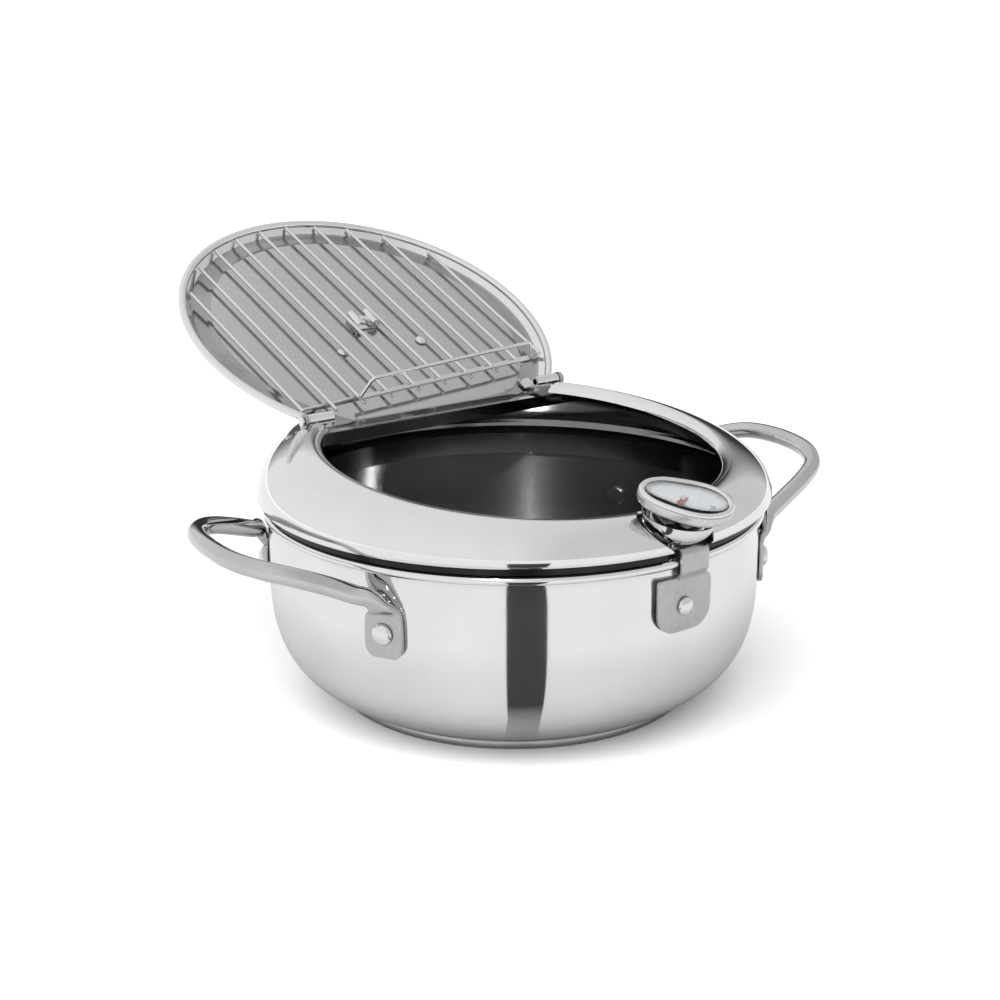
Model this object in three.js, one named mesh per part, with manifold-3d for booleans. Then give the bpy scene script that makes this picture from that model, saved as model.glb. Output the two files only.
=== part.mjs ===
// Stove-top frying pot with a domed guard ring, a hinged draining lid and a dial thermometer.
// Millimetres, +Z up. The origin is the centre of the base's underside. The front is -Y, where
// the thermometer stands, and the lid is hinged at the back, on a line parallel to X.
// The lid is modelled open. Three levels of frame are used: the pot's own, the lid's (origin on
// the hinge line, -Y towards the lid's far edge, +Z on its top side) and the thermometer's
// (origin where the stem enters the case, +Z along the stem towards the dial).
import * as THREE from "three";
import { mergeVertices } from "three/addons/utils/BufferGeometryUtils.js";
import Module from "manifold-3d";

const wasm = await Module();
wasm.setup();

// ---- Driving dimensions -------------------------------------------------------------------
const GAP = 0.3; // clearance between neighbouring pieces
const SHEET = 1.0; // sheet steel of the pot and the guard
const TURNS = 48; // facets round the large round pieces

const BASE_RADIUS = 86;
const BASE_HEIGHT = 4;
const BOTTOM_RADIUS = 87; // flat bottom of the pot
const BELLY_RADIUS = 117.6;
const BELLY_HEIGHT = 60; // the wall is upright above this
const RIM_RADIUS = 120;
const RIM_BEAD = 2.2;
const RIM_Z = 92; // centre of the rim bead

const HANDLE_TURN = 5.3; // degrees that the handles are set round from the hinge's direction
const ROD_RADIUS = 4.3;
const EAR_ANGLE = 30.8; // degrees from the handle's middle to each ear
const EAR_WIDTH = 19;
const EAR_THICKNESS = 2.6;
const EAR_LOW = 52.6;
const EAR_HIGH = 74;
const RIVET_Z = 63.7;
const RIVET_SHANK = 2.6;
const RIVET_HEAD = 5;

const BRACKET_TURN = 2.2; // degrees from the front to the thermometer bracket
const PLATE_WIDTH = 31.4;
const PLATE_LOW = 60.5;
const PLATE_HIGH = 85.5;
const STRAP_WIDTH = 16;
const STRAP_OFFSET = 3.8;
const STRIP = 1.2; // thickness of the bracket's sheet
const BRACKET_Y = -118.2; // back face of the bracket's plate
const STRAP_Y = -120.5; // back face of the strap, outside the rim bead
const TAB_TOP = 99.2; // top of the tab that carries the thermometer
const TAB_INNER_Y = -106.5;
const TAB_LEFT = -8;
const SLOT_WIDTH = 4.6;
const BRACKET_RIVET_Z = 72;

const GUARD_RADIUS = 122.6;
const GUARD_LIP_Z = 99.3; // lower edge of the guard's outer wall
const SHOULDER_RISE = 17.6; // upright pull of the guard's outer curve
const SHOULDER_RUN = 4.8; // level pull of the same curve at the crest
const CREST_RADIUS = 99.1;
const CREST_Z = 122.7;
const ROLL_RADIUS = 5.4; // the crest rolls over and down into the opening
const ROLL_ANGLE = 82;
const OPENING_SHIFT = 5.9; // the opening's centre lies this far in front of the pot's
const OPENING_TILT = 5.3; // degrees that the opening slopes down to the front
const LEAN_POWER = 0.62; // how fast the guard's wall takes up the shift and the slope
const LEDGE_RADIUS = 118.8;
const LEDGE_Z = 94.5; // the guard's ledge stands on the rim bead
const NECK_RADIUS = 114.9;
const NECK_LOW = 84.5;
const DECK_DROP = 6.5; // the deck behind the hinge lies this far below the crest
const DECK_FRONT = 61.5;
const DECK_FLANGE = 6; // height of the flange at the deck's front edge
const CREST_END = 60; // the crest stops here, in front of the hinge line

const HINGE_Y = 64.5;
const HINGE_Z = 129.6;
const PIN_RADIUS = 1.3;
const HOLE_RADIUS = 1.65;
const EAR_X = 75.6; // inner face of the guard's hinge ears
const HINGE_EAR = 2;
const HINGE_EAR_RADIUS = 3.4;
const KNUCKLE_RADIUS = 2.9;
const KNUCKLE_X = 61.5;

const OPEN_ANGLE = 25.2; // degrees above level at which the open lid stands
const LID_RADIUS = 99.5;
const LID_BEAD = 2;
const LID_REACH = 68.5; // hinge line to the lid's centre
const LID_SHEET = 0.8;
const TRAY_DEPTH = 5.2; // rim plane to the inner face of the panel
const GROOVE_DEPTH = 6;
const GROOVE_INNER = 83;
const GROOVE_OUTER = 92.5;
const LID_EDGE = 0.8; // hinge line to the panel's straight edge
const BEAD_START = 4.5; // hinge line to the ends of the rolled bead
const STUD_X = 24;
const STUD_REACH = 53;
const STUD_SHANK = 1.5;
const HANDLE_HEIGHT = 22;
const HANDLE_LEG_X = 17;
const HANDLE_BAND = 1.5;
const HANDLE_WIDTH = 14;
const HANDLE_FOOT_X = 31;
const CLIP_REACH = 74.5;
const CLIP_LENGTH = 11;
const CLIP_HALF = 7;
const CLIP_SHEET = 0.8;

const RACK_TURN = -5; // degrees that the rack is clipped out of square with the lid
const WIRE_COUNT = 10;
const WIRE_PITCH = 17.2;
const WIRE_RADIUS = 1;
const WIRE_DEPTH = 2.2; // rim plane to the middle of the long wires
const WIRE_START = 62.5; // clip to the wires' ends at the hinge side
const RACK_RADIUS = 92.2; // the rack passes through the guard's opening
const START_RADIUS = 93; // and clears the bead on the lid's rim
const CROSS_RADIUS = 0.7;
const CROSS_DEPTH = 4.2;
const CROSS_REACH = 55; // clip to the cross wire
const CROSS_HALF = 78.2;
const FENCE_REACH = 61;
const FENCE_LEFT = -46;
const FENCE_RIGHT = 66;
const FENCE_HEIGHT = 11;

const STEM_TILT = 15; // degrees that the thermometer leans to the front
const STEM_X = -3; // in the bracket's frame
const STEM_Y = -114.5;
const STEM_Z = 102.1;
const STEM_RADIUS = 1.6;
const STEM_BORE = 1.1;
const STEM_LENGTH = 64;
const BOWL_RADIUS = 16.5;
const BOWL_DEPTH = 12.2;
const BOWL_FLATTEN = 0.86; // the bowl is narrower from front to back
const HEAD_TURN = -38.7; // degrees that the pebble-shaped head is turned on its stem
const HEAD_FLOOR = 12.9;
const HEAD_TOP = 19.8;
const CARD_HEIGHT = 17.6;
const HEAD_WALL = 1.2;
const BEZEL_HEIGHT = 1.6;

const rad = THREE.MathUtils.degToRad;
const slope = Math.tan(rad(OPENING_TILT));

// ---- Materials ----------------------------------------------------------------------------
const steel = (color, roughness) =>
  new THREE.MeshStandardMaterial({ color, roughness, metalness: 1 });
const MIRROR = steel(0xd9dadb, 0.12);
const SATIN = steel(0xbfc0c2, 0.38);
const BRIGHT_WIRE = steel(0xd4d5d6, 0.2);
const CASE_GREY = new THREE.MeshStandardMaterial({ color: 0xc3c4c6, roughness: 0.35, metalness: 0.2 });
const SEAL = new THREE.MeshStandardMaterial({ color: 0x2b2b2c, roughness: 0.8, metalness: 0 });
const BRASS = new THREE.MeshStandardMaterial({ color: 0xb59a5a, roughness: 0.4, metalness: 1 });
const WHITE = new THREE.MeshStandardMaterial({ color: 0xe6e7e8, roughness: 0.6, metalness: 0 });
const RED = new THREE.MeshStandardMaterial({ color: 0xb02a24, roughness: 0.5, metalness: 0 });
const GLASS = new THREE.MeshStandardMaterial({
  color: 0xf2f5f6, roughness: 0.05, metalness: 0, transparent: true, opacity: 0.35,
});

// ---- Solids -------------------------------------------------------------------------------
// A closed geometry as a solid that can be joined and cut.
function solid(geometry) {
  const bare = geometry.clone();
  bare.deleteAttribute("normal");
  bare.deleteAttribute("uv");
  const merged = mergeVertices(bare, 1e-4);
  return new wasm.Manifold(
    new wasm.Mesh({
      numProp: 3,
      vertProperties: merged.getAttribute("position").array,
      triVerts: new Uint32Array(merged.index.array),
    }),
  );
}

function geometryOf(made) {
  const { vertProperties, triVerts } = made.getMesh();
  const geometry = new THREE.BufferGeometry();
  geometry.setAttribute("position", new THREE.BufferAttribute(vertProperties, 3));
  geometry.setIndex(new THREE.BufferAttribute(triVerts, 1));
  geometry.computeVertexNormals();
  return geometry;
}

const join = (...parts) => parts.map(solid).reduce((a, b) => a.add(b));
const cut = (from, ...tools) => tools.map(solid).reduce((a, b) => a.subtract(b), from);

function piece(name, geometry, material) {
  const mesh = new THREE.Mesh(geometry, material);
  mesh.name = name;
  return mesh;
}

const v2 = (x, y) => new THREE.Vector2(x, y);
const v3 = (x, y, z) => new THREE.Vector3(x, y, z);

// Points of an arc in a profile, from one angle to another in degrees.
function arc(cx, cy, radius, from, to, steps) {
  return Array.from({ length: steps + 1 }, (_, i) => {
    const angle = rad(from + ((to - from) * i) / steps);
    return v2(cx + radius * Math.cos(angle), cy + radius * Math.sin(angle));
  });
}

// Turns a profile of (radius, height) points about Z, starting at the front. The profile runs
// up its outer side and down its inner side; off the axis, it closes on itself.
function revolve(profile, turns = TURNS) {
  const onAxis = profile[0].x === 0 && profile.at(-1).x === 0;
  const closed = onAxis ? profile : [...profile, profile[0]];
  return new THREE.LatheGeometry(closed, turns).rotateX(Math.PI / 2);
}

function tubeOf(outer, inner, low, high, turns = 16) {
  return revolve([v2(inner, low), v2(outer, low), v2(outer, high), v2(inner, high)], turns);
}

function rodOf(radius, low, high, turns = 16) {
  return revolve([v2(0, low), v2(radius, low), v2(radius, high), v2(0, high)], turns);
}

// A box between two corners.
function boxOf(low, high) {
  const size = high.clone().sub(low);
  const middle = low.clone().add(high).multiplyScalar(0.5);
  return new THREE.BoxGeometry(size.x, size.y, size.z).translate(middle.x, middle.y, middle.z);
}

// A round section swept along a curve.
function sweep(curve, radius, steps, sides = 8) {
  const section = new THREE.Shape(
    Array.from({ length: sides }, (_, i) => {
      const angle = (2 * Math.PI * i) / sides;
      return v2(radius * Math.cos(angle), radius * Math.sin(angle));
    }),
  );
  return new THREE.ExtrudeGeometry(section, { steps, extrudePath: curve, bevelEnabled: false });
}

// A plate with an outline in X and Y, from one height to another.
function plate(outline, low, high) {
  const shape = outline instanceof THREE.Shape ? outline : new THREE.Shape(outline);
  return new THREE.ExtrudeGeometry(shape, { depth: high - low, bevelEnabled: false }).translate(0, 0, low);
}

// A rivet along Z: a domed head above, a shank, and a flat head below.
function rivetOf(head, dome, shank, length, tailRadius, tailHeight) {
  const profile = [
    v2(0, -length - tailHeight),
    v2(tailRadius, -length - tailHeight),
    v2(tailRadius, -length),
    v2(shank, -length),
    v2(shank, 0),
    v2(head, 0),
    v2(head * 0.93, dome * 0.45),
    v2(head * 0.68, dome * 0.82),
    v2(0, dome),
  ];
  return revolve(profile, 16);
}

// ---- Pot ----------------------------------------------------------------------------------
function bellyCurve(inset) {
  const curve = new THREE.CubicBezierCurve(
    v2(BOTTOM_RADIUS, BASE_HEIGHT + GAP),
    v2(BOTTOM_RADIUS + 19, BASE_HEIGHT + GAP + 10),
    v2(BELLY_RADIUS, BELLY_HEIGHT - 35),
    v2(BELLY_RADIUS, BELLY_HEIGHT),
  );
  return [0, 0.1, 0.25, 0.4, 0.55, 0.7, 0.85, 1].map((t) => {
    const at = curve.getPoint(t);
    const along = curve.getTangent(t);
    return v2(at.x - along.y * inset, at.y + along.x * inset);
  });
}

// A wall piece laid flat in XY, with its outer side up, stood against the pot at an azimuth.
function onWall(geometry, degrees, radius, height) {
  return geometry
    .rotateX(Math.PI / 2)
    .rotateZ(Math.PI / 2)
    .translate(radius, 0, height)
    .rotateZ(rad(degrees));
}

function wallHole(degrees, height, radius) {
  return onWall(rodOf(radius, -10, 10), degrees, BELLY_RADIUS, height);
}

const HANDLE_ANGLES = [EAR_ANGLE, -EAR_ANGLE, 180 + EAR_ANGLE, 180 - EAR_ANGLE];

function potBody() {
  const outer = bellyCurve(0);
  const inner = bellyCurve(SHEET).reverse();
  const bead = arc(RIM_RADIUS - RIM_BEAD, RIM_Z, RIM_BEAD, -85, 210, 8);
  const low = BASE_HEIGHT + GAP;
  const wall = revolve([v2(0, low), ...outer, ...bead, ...inner, v2(0, low + SHEET)]);
  const holes = HANDLE_ANGLES.map((angle) =>
    wallHole(angle - HANDLE_TURN, RIVET_Z, RIVET_SHANK + GAP),
  );
  const bracketHole = wallHole(BRACKET_TURN - 90, BRACKET_RIVET_Z, RIVET_SHANK + GAP);
  return piece("pot_body", geometryOf(cut(solid(wall), ...holes, bracketHole)), MIRROR);
}

function baseDisc() {
  const profile = [
    v2(0, 0), v2(BASE_RADIUS - 1.5, 0), v2(BASE_RADIUS, 1.5),
    v2(BASE_RADIUS, BASE_HEIGHT), v2(0, BASE_HEIGHT),
  ];
  return piece("base_disc", revolve(profile), SATIN);
}

// Half of each handle's centre line, from the ear to the middle of the loop, with the handle on
// the +X side. The left handle is bent flatter and a little shorter than the right one.
const RIGHT_LOOP = [
  v3(106.3, 62.2, 69), v3(107.4, 60.4, 76), v3(112.9, 54.6, 82.2), v3(125.6, 50, 86.5),
  v3(140, 44.6, 91.3), v3(153, 37.5, 96), v3(161, 25, 99.7), v3(163.8, 0, 101),
];
const LEFT_LOOP = [
  v3(106.3, 62.2, 69), v3(107.4, 60.2, 75.8), v3(112.6, 54.6, 81.2), v3(122.6, 49.4, 85.4),
  v3(135.1, 43.9, 89.7), v3(145, 37, 92.3), v3(152.4, 25, 93.6), v3(155.6, 0, 93.9),
];

// A handle on the +X side: one round rod, flattened into an ear at each end.
function handle(name, half) {
  const other = half.slice(0, -1).map((p) => v3(p.x, -p.y, p.z)).reverse();
  const path = new THREE.CatmullRomCurve3([...half, ...other]);
  const rod = sweep(path, ROD_RADIUS, 34);
  const corner = 6;
  const width = EAR_WIDTH / 2;
  const low = EAR_LOW - RIVET_Z;
  const outline = new THREE.Shape([
    v2(-width, low + corner), v2(-width + corner, low), v2(width - corner, low),
    v2(width, low + corner), v2(width, EAR_HIGH - RIVET_Z), v2(-width, EAR_HIGH - RIVET_Z),
  ]);
  const ears = [EAR_ANGLE, -EAR_ANGLE].map((angle) =>
    onWall(plate(outline, GAP, GAP + EAR_THICKNESS), angle, BELLY_RADIUS, RIVET_Z),
  );
  const holes = [EAR_ANGLE, -EAR_ANGLE].map((angle) => wallHole(angle, RIVET_Z, RIVET_SHANK + GAP));
  return piece(name, geometryOf(cut(join(rod, ...ears), ...holes)), BRIGHT_WIRE);
}

function handleRivet(name, degrees) {
  const seat = 2 * GAP + EAR_THICKNESS;
  const rivet = rivetOf(RIVET_HEAD, 3, RIVET_SHANK, seat + SHEET + 2 * GAP, RIVET_HEAD, 1);
  return piece(name, onWall(rivet.translate(0, 0, seat), degrees, BELLY_RADIUS, RIVET_Z), BRIGHT_WIRE);
}

function handles() {
  const group = new THREE.Group();
  const right = handle("handle_right", RIGHT_LOOP);
  const left = handle("handle_left", LEFT_LOOP);
  left.rotation.z = Math.PI;
  group.add(right, left);
  group.add(handleRivet("handle_rivet_right_front", -EAR_ANGLE));
  group.add(handleRivet("handle_rivet_right_rear", EAR_ANGLE));
  group.add(handleRivet("handle_rivet_left_front", 180 + EAR_ANGLE));
  group.add(handleRivet("handle_rivet_left_rear", 180 - EAR_ANGLE));
  group.rotation.z = rad(-HANDLE_TURN);
  return group;
}

// ---- Thermometer bracket, in a frame whose -Y passes through its middle --------------------
function bracket() {
  const left = -PLATE_WIDTH / 2;
  const right = PLATE_WIDTH / 2;
  const strapLeft = STRAP_OFFSET - STRAP_WIDTH / 2;
  const strapRight = STRAP_OFFSET + STRAP_WIDTH / 2;
  const corner = 8;
  const upright = (outline, back) =>
    plate(outline, 0, STRIP).rotateX(Math.PI / 2).translate(0, back, 0);
  const wallPlate = upright(
    [
      v2(left + corner, PLATE_LOW), v2(right - corner, PLATE_LOW), v2(right, PLATE_LOW + corner),
      v2(right, PLATE_HIGH - 4), v2(strapRight, PLATE_HIGH),
      v2(left, PLATE_HIGH), v2(left, PLATE_LOW + corner),
    ],
    BRACKET_Y,
  );
  const bendTop = TAB_TOP - 2;
  const bent = [
    v2(BRACKET_Y, PLATE_HIGH - 3), v2(BRACKET_Y, PLATE_HIGH - 1), v2(STRAP_Y, PLATE_HIGH + 2),
    v2(STRAP_Y, bendTop - 1), v2(STRAP_Y + 2, TAB_TOP - STRIP), v2(STRAP_Y + 5, TAB_TOP - STRIP),
    v2(STRAP_Y + 5, TAB_TOP), v2(STRAP_Y + 1.5, TAB_TOP), v2(STRAP_Y - STRIP, bendTop),
    v2(STRAP_Y - STRIP, PLATE_HIGH + 1.5), v2(BRACKET_Y - STRIP, PLATE_HIGH - 1.5),
    v2(BRACKET_Y - STRIP, PLATE_HIGH - 3),
  ];
  const strap = plate(bent, strapLeft, strapRight).applyMatrix4(
    new THREE.Matrix4().makeBasis(v3(0, 1, 0), v3(0, 0, 1), v3(1, 0, 0)),
  );
  const tab = boxOf(v3(TAB_LEFT, STRAP_Y + 3, TAB_TOP - STRIP), v3(strapRight, TAB_INNER_Y, TAB_TOP));
  const slot = boxOf(
    v3(STEM_X - SLOT_WIDTH / 2, STEM_Y - 0.5, TAB_TOP - 5),
    v3(STEM_X + SLOT_WIDTH / 2, TAB_INNER_Y + 1, TAB_TOP + 5),
  );
  const slotEnd = rodOf(SLOT_WIDTH / 2, -5, 5).translate(STEM_X, STEM_Y - 0.5, TAB_TOP);
  const hole = rodOf(RIVET_SHANK + GAP, -8, 8).rotateX(Math.PI / 2)
    .translate(0, BRACKET_Y, BRACKET_RIVET_Z);
  const made = cut(join(wallPlate, strap, tab), slot, slotEnd, hole);
  return piece("thermometer_bracket", geometryOf(made), SATIN);
}

function bracketRivet() {
  const reach = -BRACKET_Y - BELLY_RADIUS + SHEET + STRIP + 4 * GAP;
  const rivet = rivetOf(4.2, 2.4, RIVET_SHANK, reach, 4.2, 1)
    .rotateX(Math.PI / 2)
    .translate(0, BRACKET_Y - STRIP - GAP, BRACKET_RIVET_Z);
  return piece("bracket_rivet", rivet, BRIGHT_WIRE);
}

// ---- Guard --------------------------------------------------------------------------------
// Profile points of the guard's domed wall, each with its share of the opening's shift and slope.
function domeCurve(inset) {
  const curve = new THREE.CubicBezierCurve(
    v2(GUARD_RADIUS, GUARD_LIP_Z),
    v2(GUARD_RADIUS, GUARD_LIP_Z + SHOULDER_RISE),
    v2(CREST_RADIUS + SHOULDER_RUN, CREST_Z),
    v2(CREST_RADIUS, CREST_Z),
  );
  const wall = [0, 0.12, 0.25, 0.4, 0.56, 0.74, 1].map((t) => {
    const at = curve.getPoint(t);
    const along = curve.getTangent(t);
    return { at: v2(at.x - along.y * inset, at.y + along.x * inset), share: t ** LEAN_POWER };
  });
  const roll = arc(CREST_RADIUS, CREST_Z - ROLL_RADIUS, ROLL_RADIUS - inset, 90, 90 + ROLL_ANGLE, 4);
  return [...wall, ...roll.slice(1).map((at) => ({ at, share: 1 }))];
}

// Shifts a point of the guard to the front and slopes it, by its share.
function lean(p, share) {
  p.z += share * slope * p.y;
  p.y -= share * OPENING_SHIFT;
  return p;
}

// Turns a profile whose points carry a share of the lean.
function revolveLeaning(profile) {
  const geometry = revolve(profile.map(({ at }) => at));
  const position = geometry.getAttribute("position");
  const rows = position.count / (TURNS + 1);
  const p = v3(0, 0, 0);
  for (let i = 0; i < position.count; i++) {
    lean(p.fromBufferAttribute(position, i), profile[(i % rows) % profile.length].share);
    position.setXYZ(i, p.x, p.y, p.z);
  }
  return geometry;
}

// A plate across the guard, in the sloping plane of its crest.
function slopingBox(low, high) {
  const geometry = boxOf(low, high);
  const position = geometry.getAttribute("position");
  for (let i = 0; i < position.count; i++) {
    const back = position.getY(i) + OPENING_SHIFT;
    position.setZ(i, position.getZ(i) + slope * back);
  }
  return geometry;
}

function guardRing() {
  const still = (x, y) => ({ at: v2(x, y), share: 0 });
  const shell = revolveLeaning([
    still(NECK_RADIUS - SHEET, NECK_LOW), still(NECK_RADIUS, NECK_LOW), still(NECK_RADIUS, LEDGE_Z),
    still(LEDGE_RADIUS, LEDGE_Z), still(LEDGE_RADIUS, GUARD_LIP_Z - 1.5),
    still(GUARD_RADIUS - 0.5, GUARD_LIP_Z - 1),
    ...domeCurve(0), ...domeCurve(SHEET).reverse(),
    still(GUARD_RADIUS - 1.5, GUARD_LIP_Z - 0.2), still(LEDGE_RADIUS - SHEET, GUARD_LIP_Z - 0.6),
    still(LEDGE_RADIUS - SHEET, LEDGE_Z + SHEET), still(NECK_RADIUS - SHEET, LEDGE_Z + SHEET),
  ]);
  const inside = revolveLeaning([
    { at: v2(0, GUARD_LIP_Z), share: 0 }, ...domeCurve(0.2).slice(0, 7),
    { at: v2(0, CREST_Z), share: 1 },
  ]);
  const deckTop = CREST_Z - DECK_DROP;
  const wide = GUARD_RADIUS + 5;
  const deck = slopingBox(v3(-wide, DECK_FRONT, deckTop - STRIP), v3(wide, wide, deckTop));
  const flange = slopingBox(
    v3(-wide, DECK_FRONT, deckTop - DECK_FLANGE),
    v3(wide, DECK_FRONT + STRIP, deckTop),
  );
  const crestCut = slopingBox(v3(-wide, CREST_END, deckTop), v3(wide, wide, deckTop + 40));
  const backOfDome = solid(inside);
  const deckSolid = join(deck, flange).intersect(backOfDome);
  const body = solid(shell).subtract(solid(crestCut)).add(deckSolid);
  return piece("guard_ring", geometryOf(cut(body, ...bracketNotch())), MIRROR);
}

// What the guard leaves open for the bracket and for the thermometer's case.
function bracketNotch() {
  const clear = 1.5;
  const right = STRAP_OFFSET + STRAP_WIDTH / 2 + clear;
  const high = STEM_Z + 8;
  const low = NECK_LOW - 5;
  const left = STRAP_OFFSET - STRAP_WIDTH / 2 - 4;
  const outer = boxOf(v3(left, STRAP_Y - 8, low), v3(right, STRAP_Y + 4, high));
  const inner = boxOf(
    v3(TAB_LEFT - clear, STRAP_Y + 1.2, low),
    v3(right, TAB_INNER_Y + clear, high),
  );
  const bowlProfile = [
    v2(0, -3), v2(9, -3), v2(BOWL_RADIUS - 1, 5), v2(BOWL_RADIUS + 2, 9),
    v2(BOWL_RADIUS + 2.5, 30), v2(0, 30),
  ];
  const bowl = revolve(bowlProfile, 24)
    .rotateX(rad(STEM_TILT))
    .translate(STEM_X, STEM_Y, STEM_Z);
  return [outer, inner, bowl].map((tool) => tool.rotateZ(rad(BRACKET_TURN)));
}

function hingeEar(name, side) {
  const low = CREST_Z - DECK_DROP + slope * (HINGE_Y + OPENING_SHIFT) + 0.6;
  const disc = rodOf(HINGE_EAR_RADIUS, 0, HINGE_EAR)
    .rotateY(Math.PI / 2)
    .translate(EAR_X, HINGE_Y, HINGE_Z);
  const leg = boxOf(v3(EAR_X, HINGE_Y - 3, low), v3(EAR_X + HINGE_EAR, HINGE_Y + 3, HINGE_Z));
  const foot = boxOf(v3(EAR_X, HINGE_Y - 3, low), v3(EAR_X + 5, HINGE_Y + 3, low + 1.2));
  const hole = rodOf(HOLE_RADIUS, -20, 20).rotateY(Math.PI / 2).translate(EAR_X, HINGE_Y, HINGE_Z);
  const geometry = geometryOf(cut(join(disc, leg, foot), hole));
  if (side < 0) geometry.rotateZ(Math.PI).translate(0, 2 * HINGE_Y, 0);
  return piece(name, geometry, SATIN);
}

function hingePin(name, side) {
  const inner = KNUCKLE_X + 6;
  const outer = EAR_X + HINGE_EAR + GAP;
  const profile = [
    v2(0, inner), v2(PIN_RADIUS, inner), v2(PIN_RADIUS, outer), v2(2.4, outer),
    v2(2.4, outer + 1), v2(0, outer + 1.4),
  ];
  const pin = revolve(profile, 16)
    .rotateY((side * Math.PI) / 2)
    .translate(0, HINGE_Y, HINGE_Z);
  return piece(name, pin, BRIGHT_WIRE);
}

// ---- Lid, in the lid's own frame ------------------------------------------------------------
function lidPanel() {
  const beadCentre = LID_RADIUS - LID_BEAD;
  const profile = [
    v2(0, TRAY_DEPTH), v2(GROOVE_INNER, TRAY_DEPTH),
    v2(GROOVE_INNER + 2, GROOVE_DEPTH), v2(GROOVE_OUTER, GROOVE_DEPTH),
    ...arc(beadCentre, LID_BEAD, LID_BEAD, -205, 120, 9),
    v2(GROOVE_OUTER + 0.6, GROOVE_DEPTH + LID_SHEET),
    v2(GROOVE_INNER + 1.6, GROOVE_DEPTH + LID_SHEET),
    v2(GROOVE_INNER - 0.4, TRAY_DEPTH + LID_SHEET), v2(0, TRAY_DEPTH + LID_SHEET),
  ];
  const dish = revolve(profile).translate(0, -LID_REACH, 0);
  const wide = LID_RADIUS + 5;
  const straight = boxOf(v3(-wide, -LID_EDGE, -5), v3(wide, wide, 20));
  const corners = [1, -1].map((side) =>
    boxOf(
      v3(side > 0 ? KNUCKLE_X + 5 : -wide, -BEAD_START, -5),
      v3(side > 0 ? wide : -KNUCKLE_X - 5, 5, 20),
    ),
  );
  const holes = [[-STUD_X, STUD_REACH], [STUD_X, STUD_REACH], [0, CLIP_REACH]].map(([x, reach]) =>
    rodOf(STUD_SHANK + GAP, 0, 15, 12).translate(x, -reach, 0),
  );
  return piece("lid_panel", geometryOf(cut(solid(dish), straight, ...corners, ...holes)), SATIN);
}

function lidKnuckle(name, side) {
  const barrel = rodOf(KNUCKLE_RADIUS, KNUCKLE_X, EAR_X - GAP).rotateY(Math.PI / 2);
  const web = boxOf(v3(KNUCKLE_X, -2.4, 0), v3(KNUCKLE_X + 3, 1.5, TRAY_DEPTH - GAP));
  const leaf = boxOf(
    v3(KNUCKLE_X - 4, -9, TRAY_DEPTH - GAP - LID_SHEET),
    v3(KNUCKLE_X + 3, -1.6, TRAY_DEPTH - GAP),
  );
  const bore = rodOf(HOLE_RADIUS, KNUCKLE_X - 5, EAR_X + 5).rotateY(Math.PI / 2);
  const geometry = geometryOf(cut(join(barrel, web, leaf), bore));
  if (side < 0) geometry.applyMatrix4(new THREE.Matrix4().makeScale(-1, 1, 1));
  return piece(name, side < 0 ? flipped(geometry) : geometry, SATIN);
}

// The same surface with every face turned round, after a mirroring.
function flipped(geometry) {
  const index = geometry.index.array;
  for (let i = 0; i < index.length; i += 3) {
    [index[i], index[i + 1]] = [index[i + 1], index[i]];
  }
  geometry.computeVertexNormals();
  return geometry;
}

function lidHandle() {
  const low = TRAY_DEPTH + LID_SHEET + GAP;
  const high = low + HANDLE_HEIGHT;
  const corner = 7;
  const side = (half, foot, radius, top) => [
    v2(HANDLE_FOOT_X, foot), v2(half, foot),
    ...arc(half - radius, top - radius, radius, 0, 90, 4),
  ];
  const mirrored = (points) => points.map((p) => v2(-p.x, p.y)).reverse();
  const outer = side(HANDLE_LEG_X + HANDLE_BAND, low + HANDLE_BAND, corner, high);
  const inner = side(HANDLE_LEG_X, low, corner - HANDLE_BAND, high - HANDLE_BAND);
  const outline = [...outer, ...mirrored(outer), ...[...inner, ...mirrored(inner)].reverse()];
  const half = HANDLE_WIDTH / 2;
  const band = plate(outline, STUD_REACH - half, STUD_REACH + half).rotateX(Math.PI / 2);
  const holes = [-STUD_X, STUD_X].map((x) =>
    rodOf(STUD_SHANK + GAP, 0, 15, 12).translate(x, -STUD_REACH, 0),
  );
  return piece("lid_handle", geometryOf(cut(solid(band), ...holes)), SATIN);
}

// A stud through the lid, with its domed head on the inner side.
function lidStud(name, x, reach, top, head, dome, length) {
  const stud = rivetOf(head, dome, STUD_SHANK, length, 2.8, 0.8)
    .rotateX(Math.PI)
    .translate(x, -reach, top);
  return piece(name, stud, BRIGHT_WIRE);
}

function rackClip() {
  const top = TRAY_DEPTH - GAP;
  const half = CLIP_LENGTH / 2;
  const base = boxOf(v3(-CLIP_HALF, -half, top - CLIP_SHEET), v3(CLIP_HALF, half, top));
  const lips = [-1, 1].map((side) => {
    const outer = side * CLIP_HALF;
    const inner = side * (CLIP_HALF - CLIP_SHEET);
    return boxOf(v3(Math.min(outer, inner), -half, 0.6), v3(Math.max(outer, inner), half, top));
  });
  const hole = rodOf(STUD_SHANK + GAP, 0, 15, 12);
  const made = cut(join(base, ...lips), hole);
  return piece("rack_clip", geometryOf(made).translate(0, -CLIP_REACH, 0), BRIGHT_WIRE);
}

// ---- Draining rack, in its own frame: the lid's, moved to the clip and turned ------------------
// Where a long wire, at x, crosses a circle about a point of the lid's middle line.
function crossing(x, reach, radius, side) {
  const centre = v2(0, CLIP_REACH - reach).rotateAround(v2(0, 0), rad(-RACK_TURN));
  return centre.y + side * Math.sqrt(radius ** 2 - (x - centre.x) ** 2);
}

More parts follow.
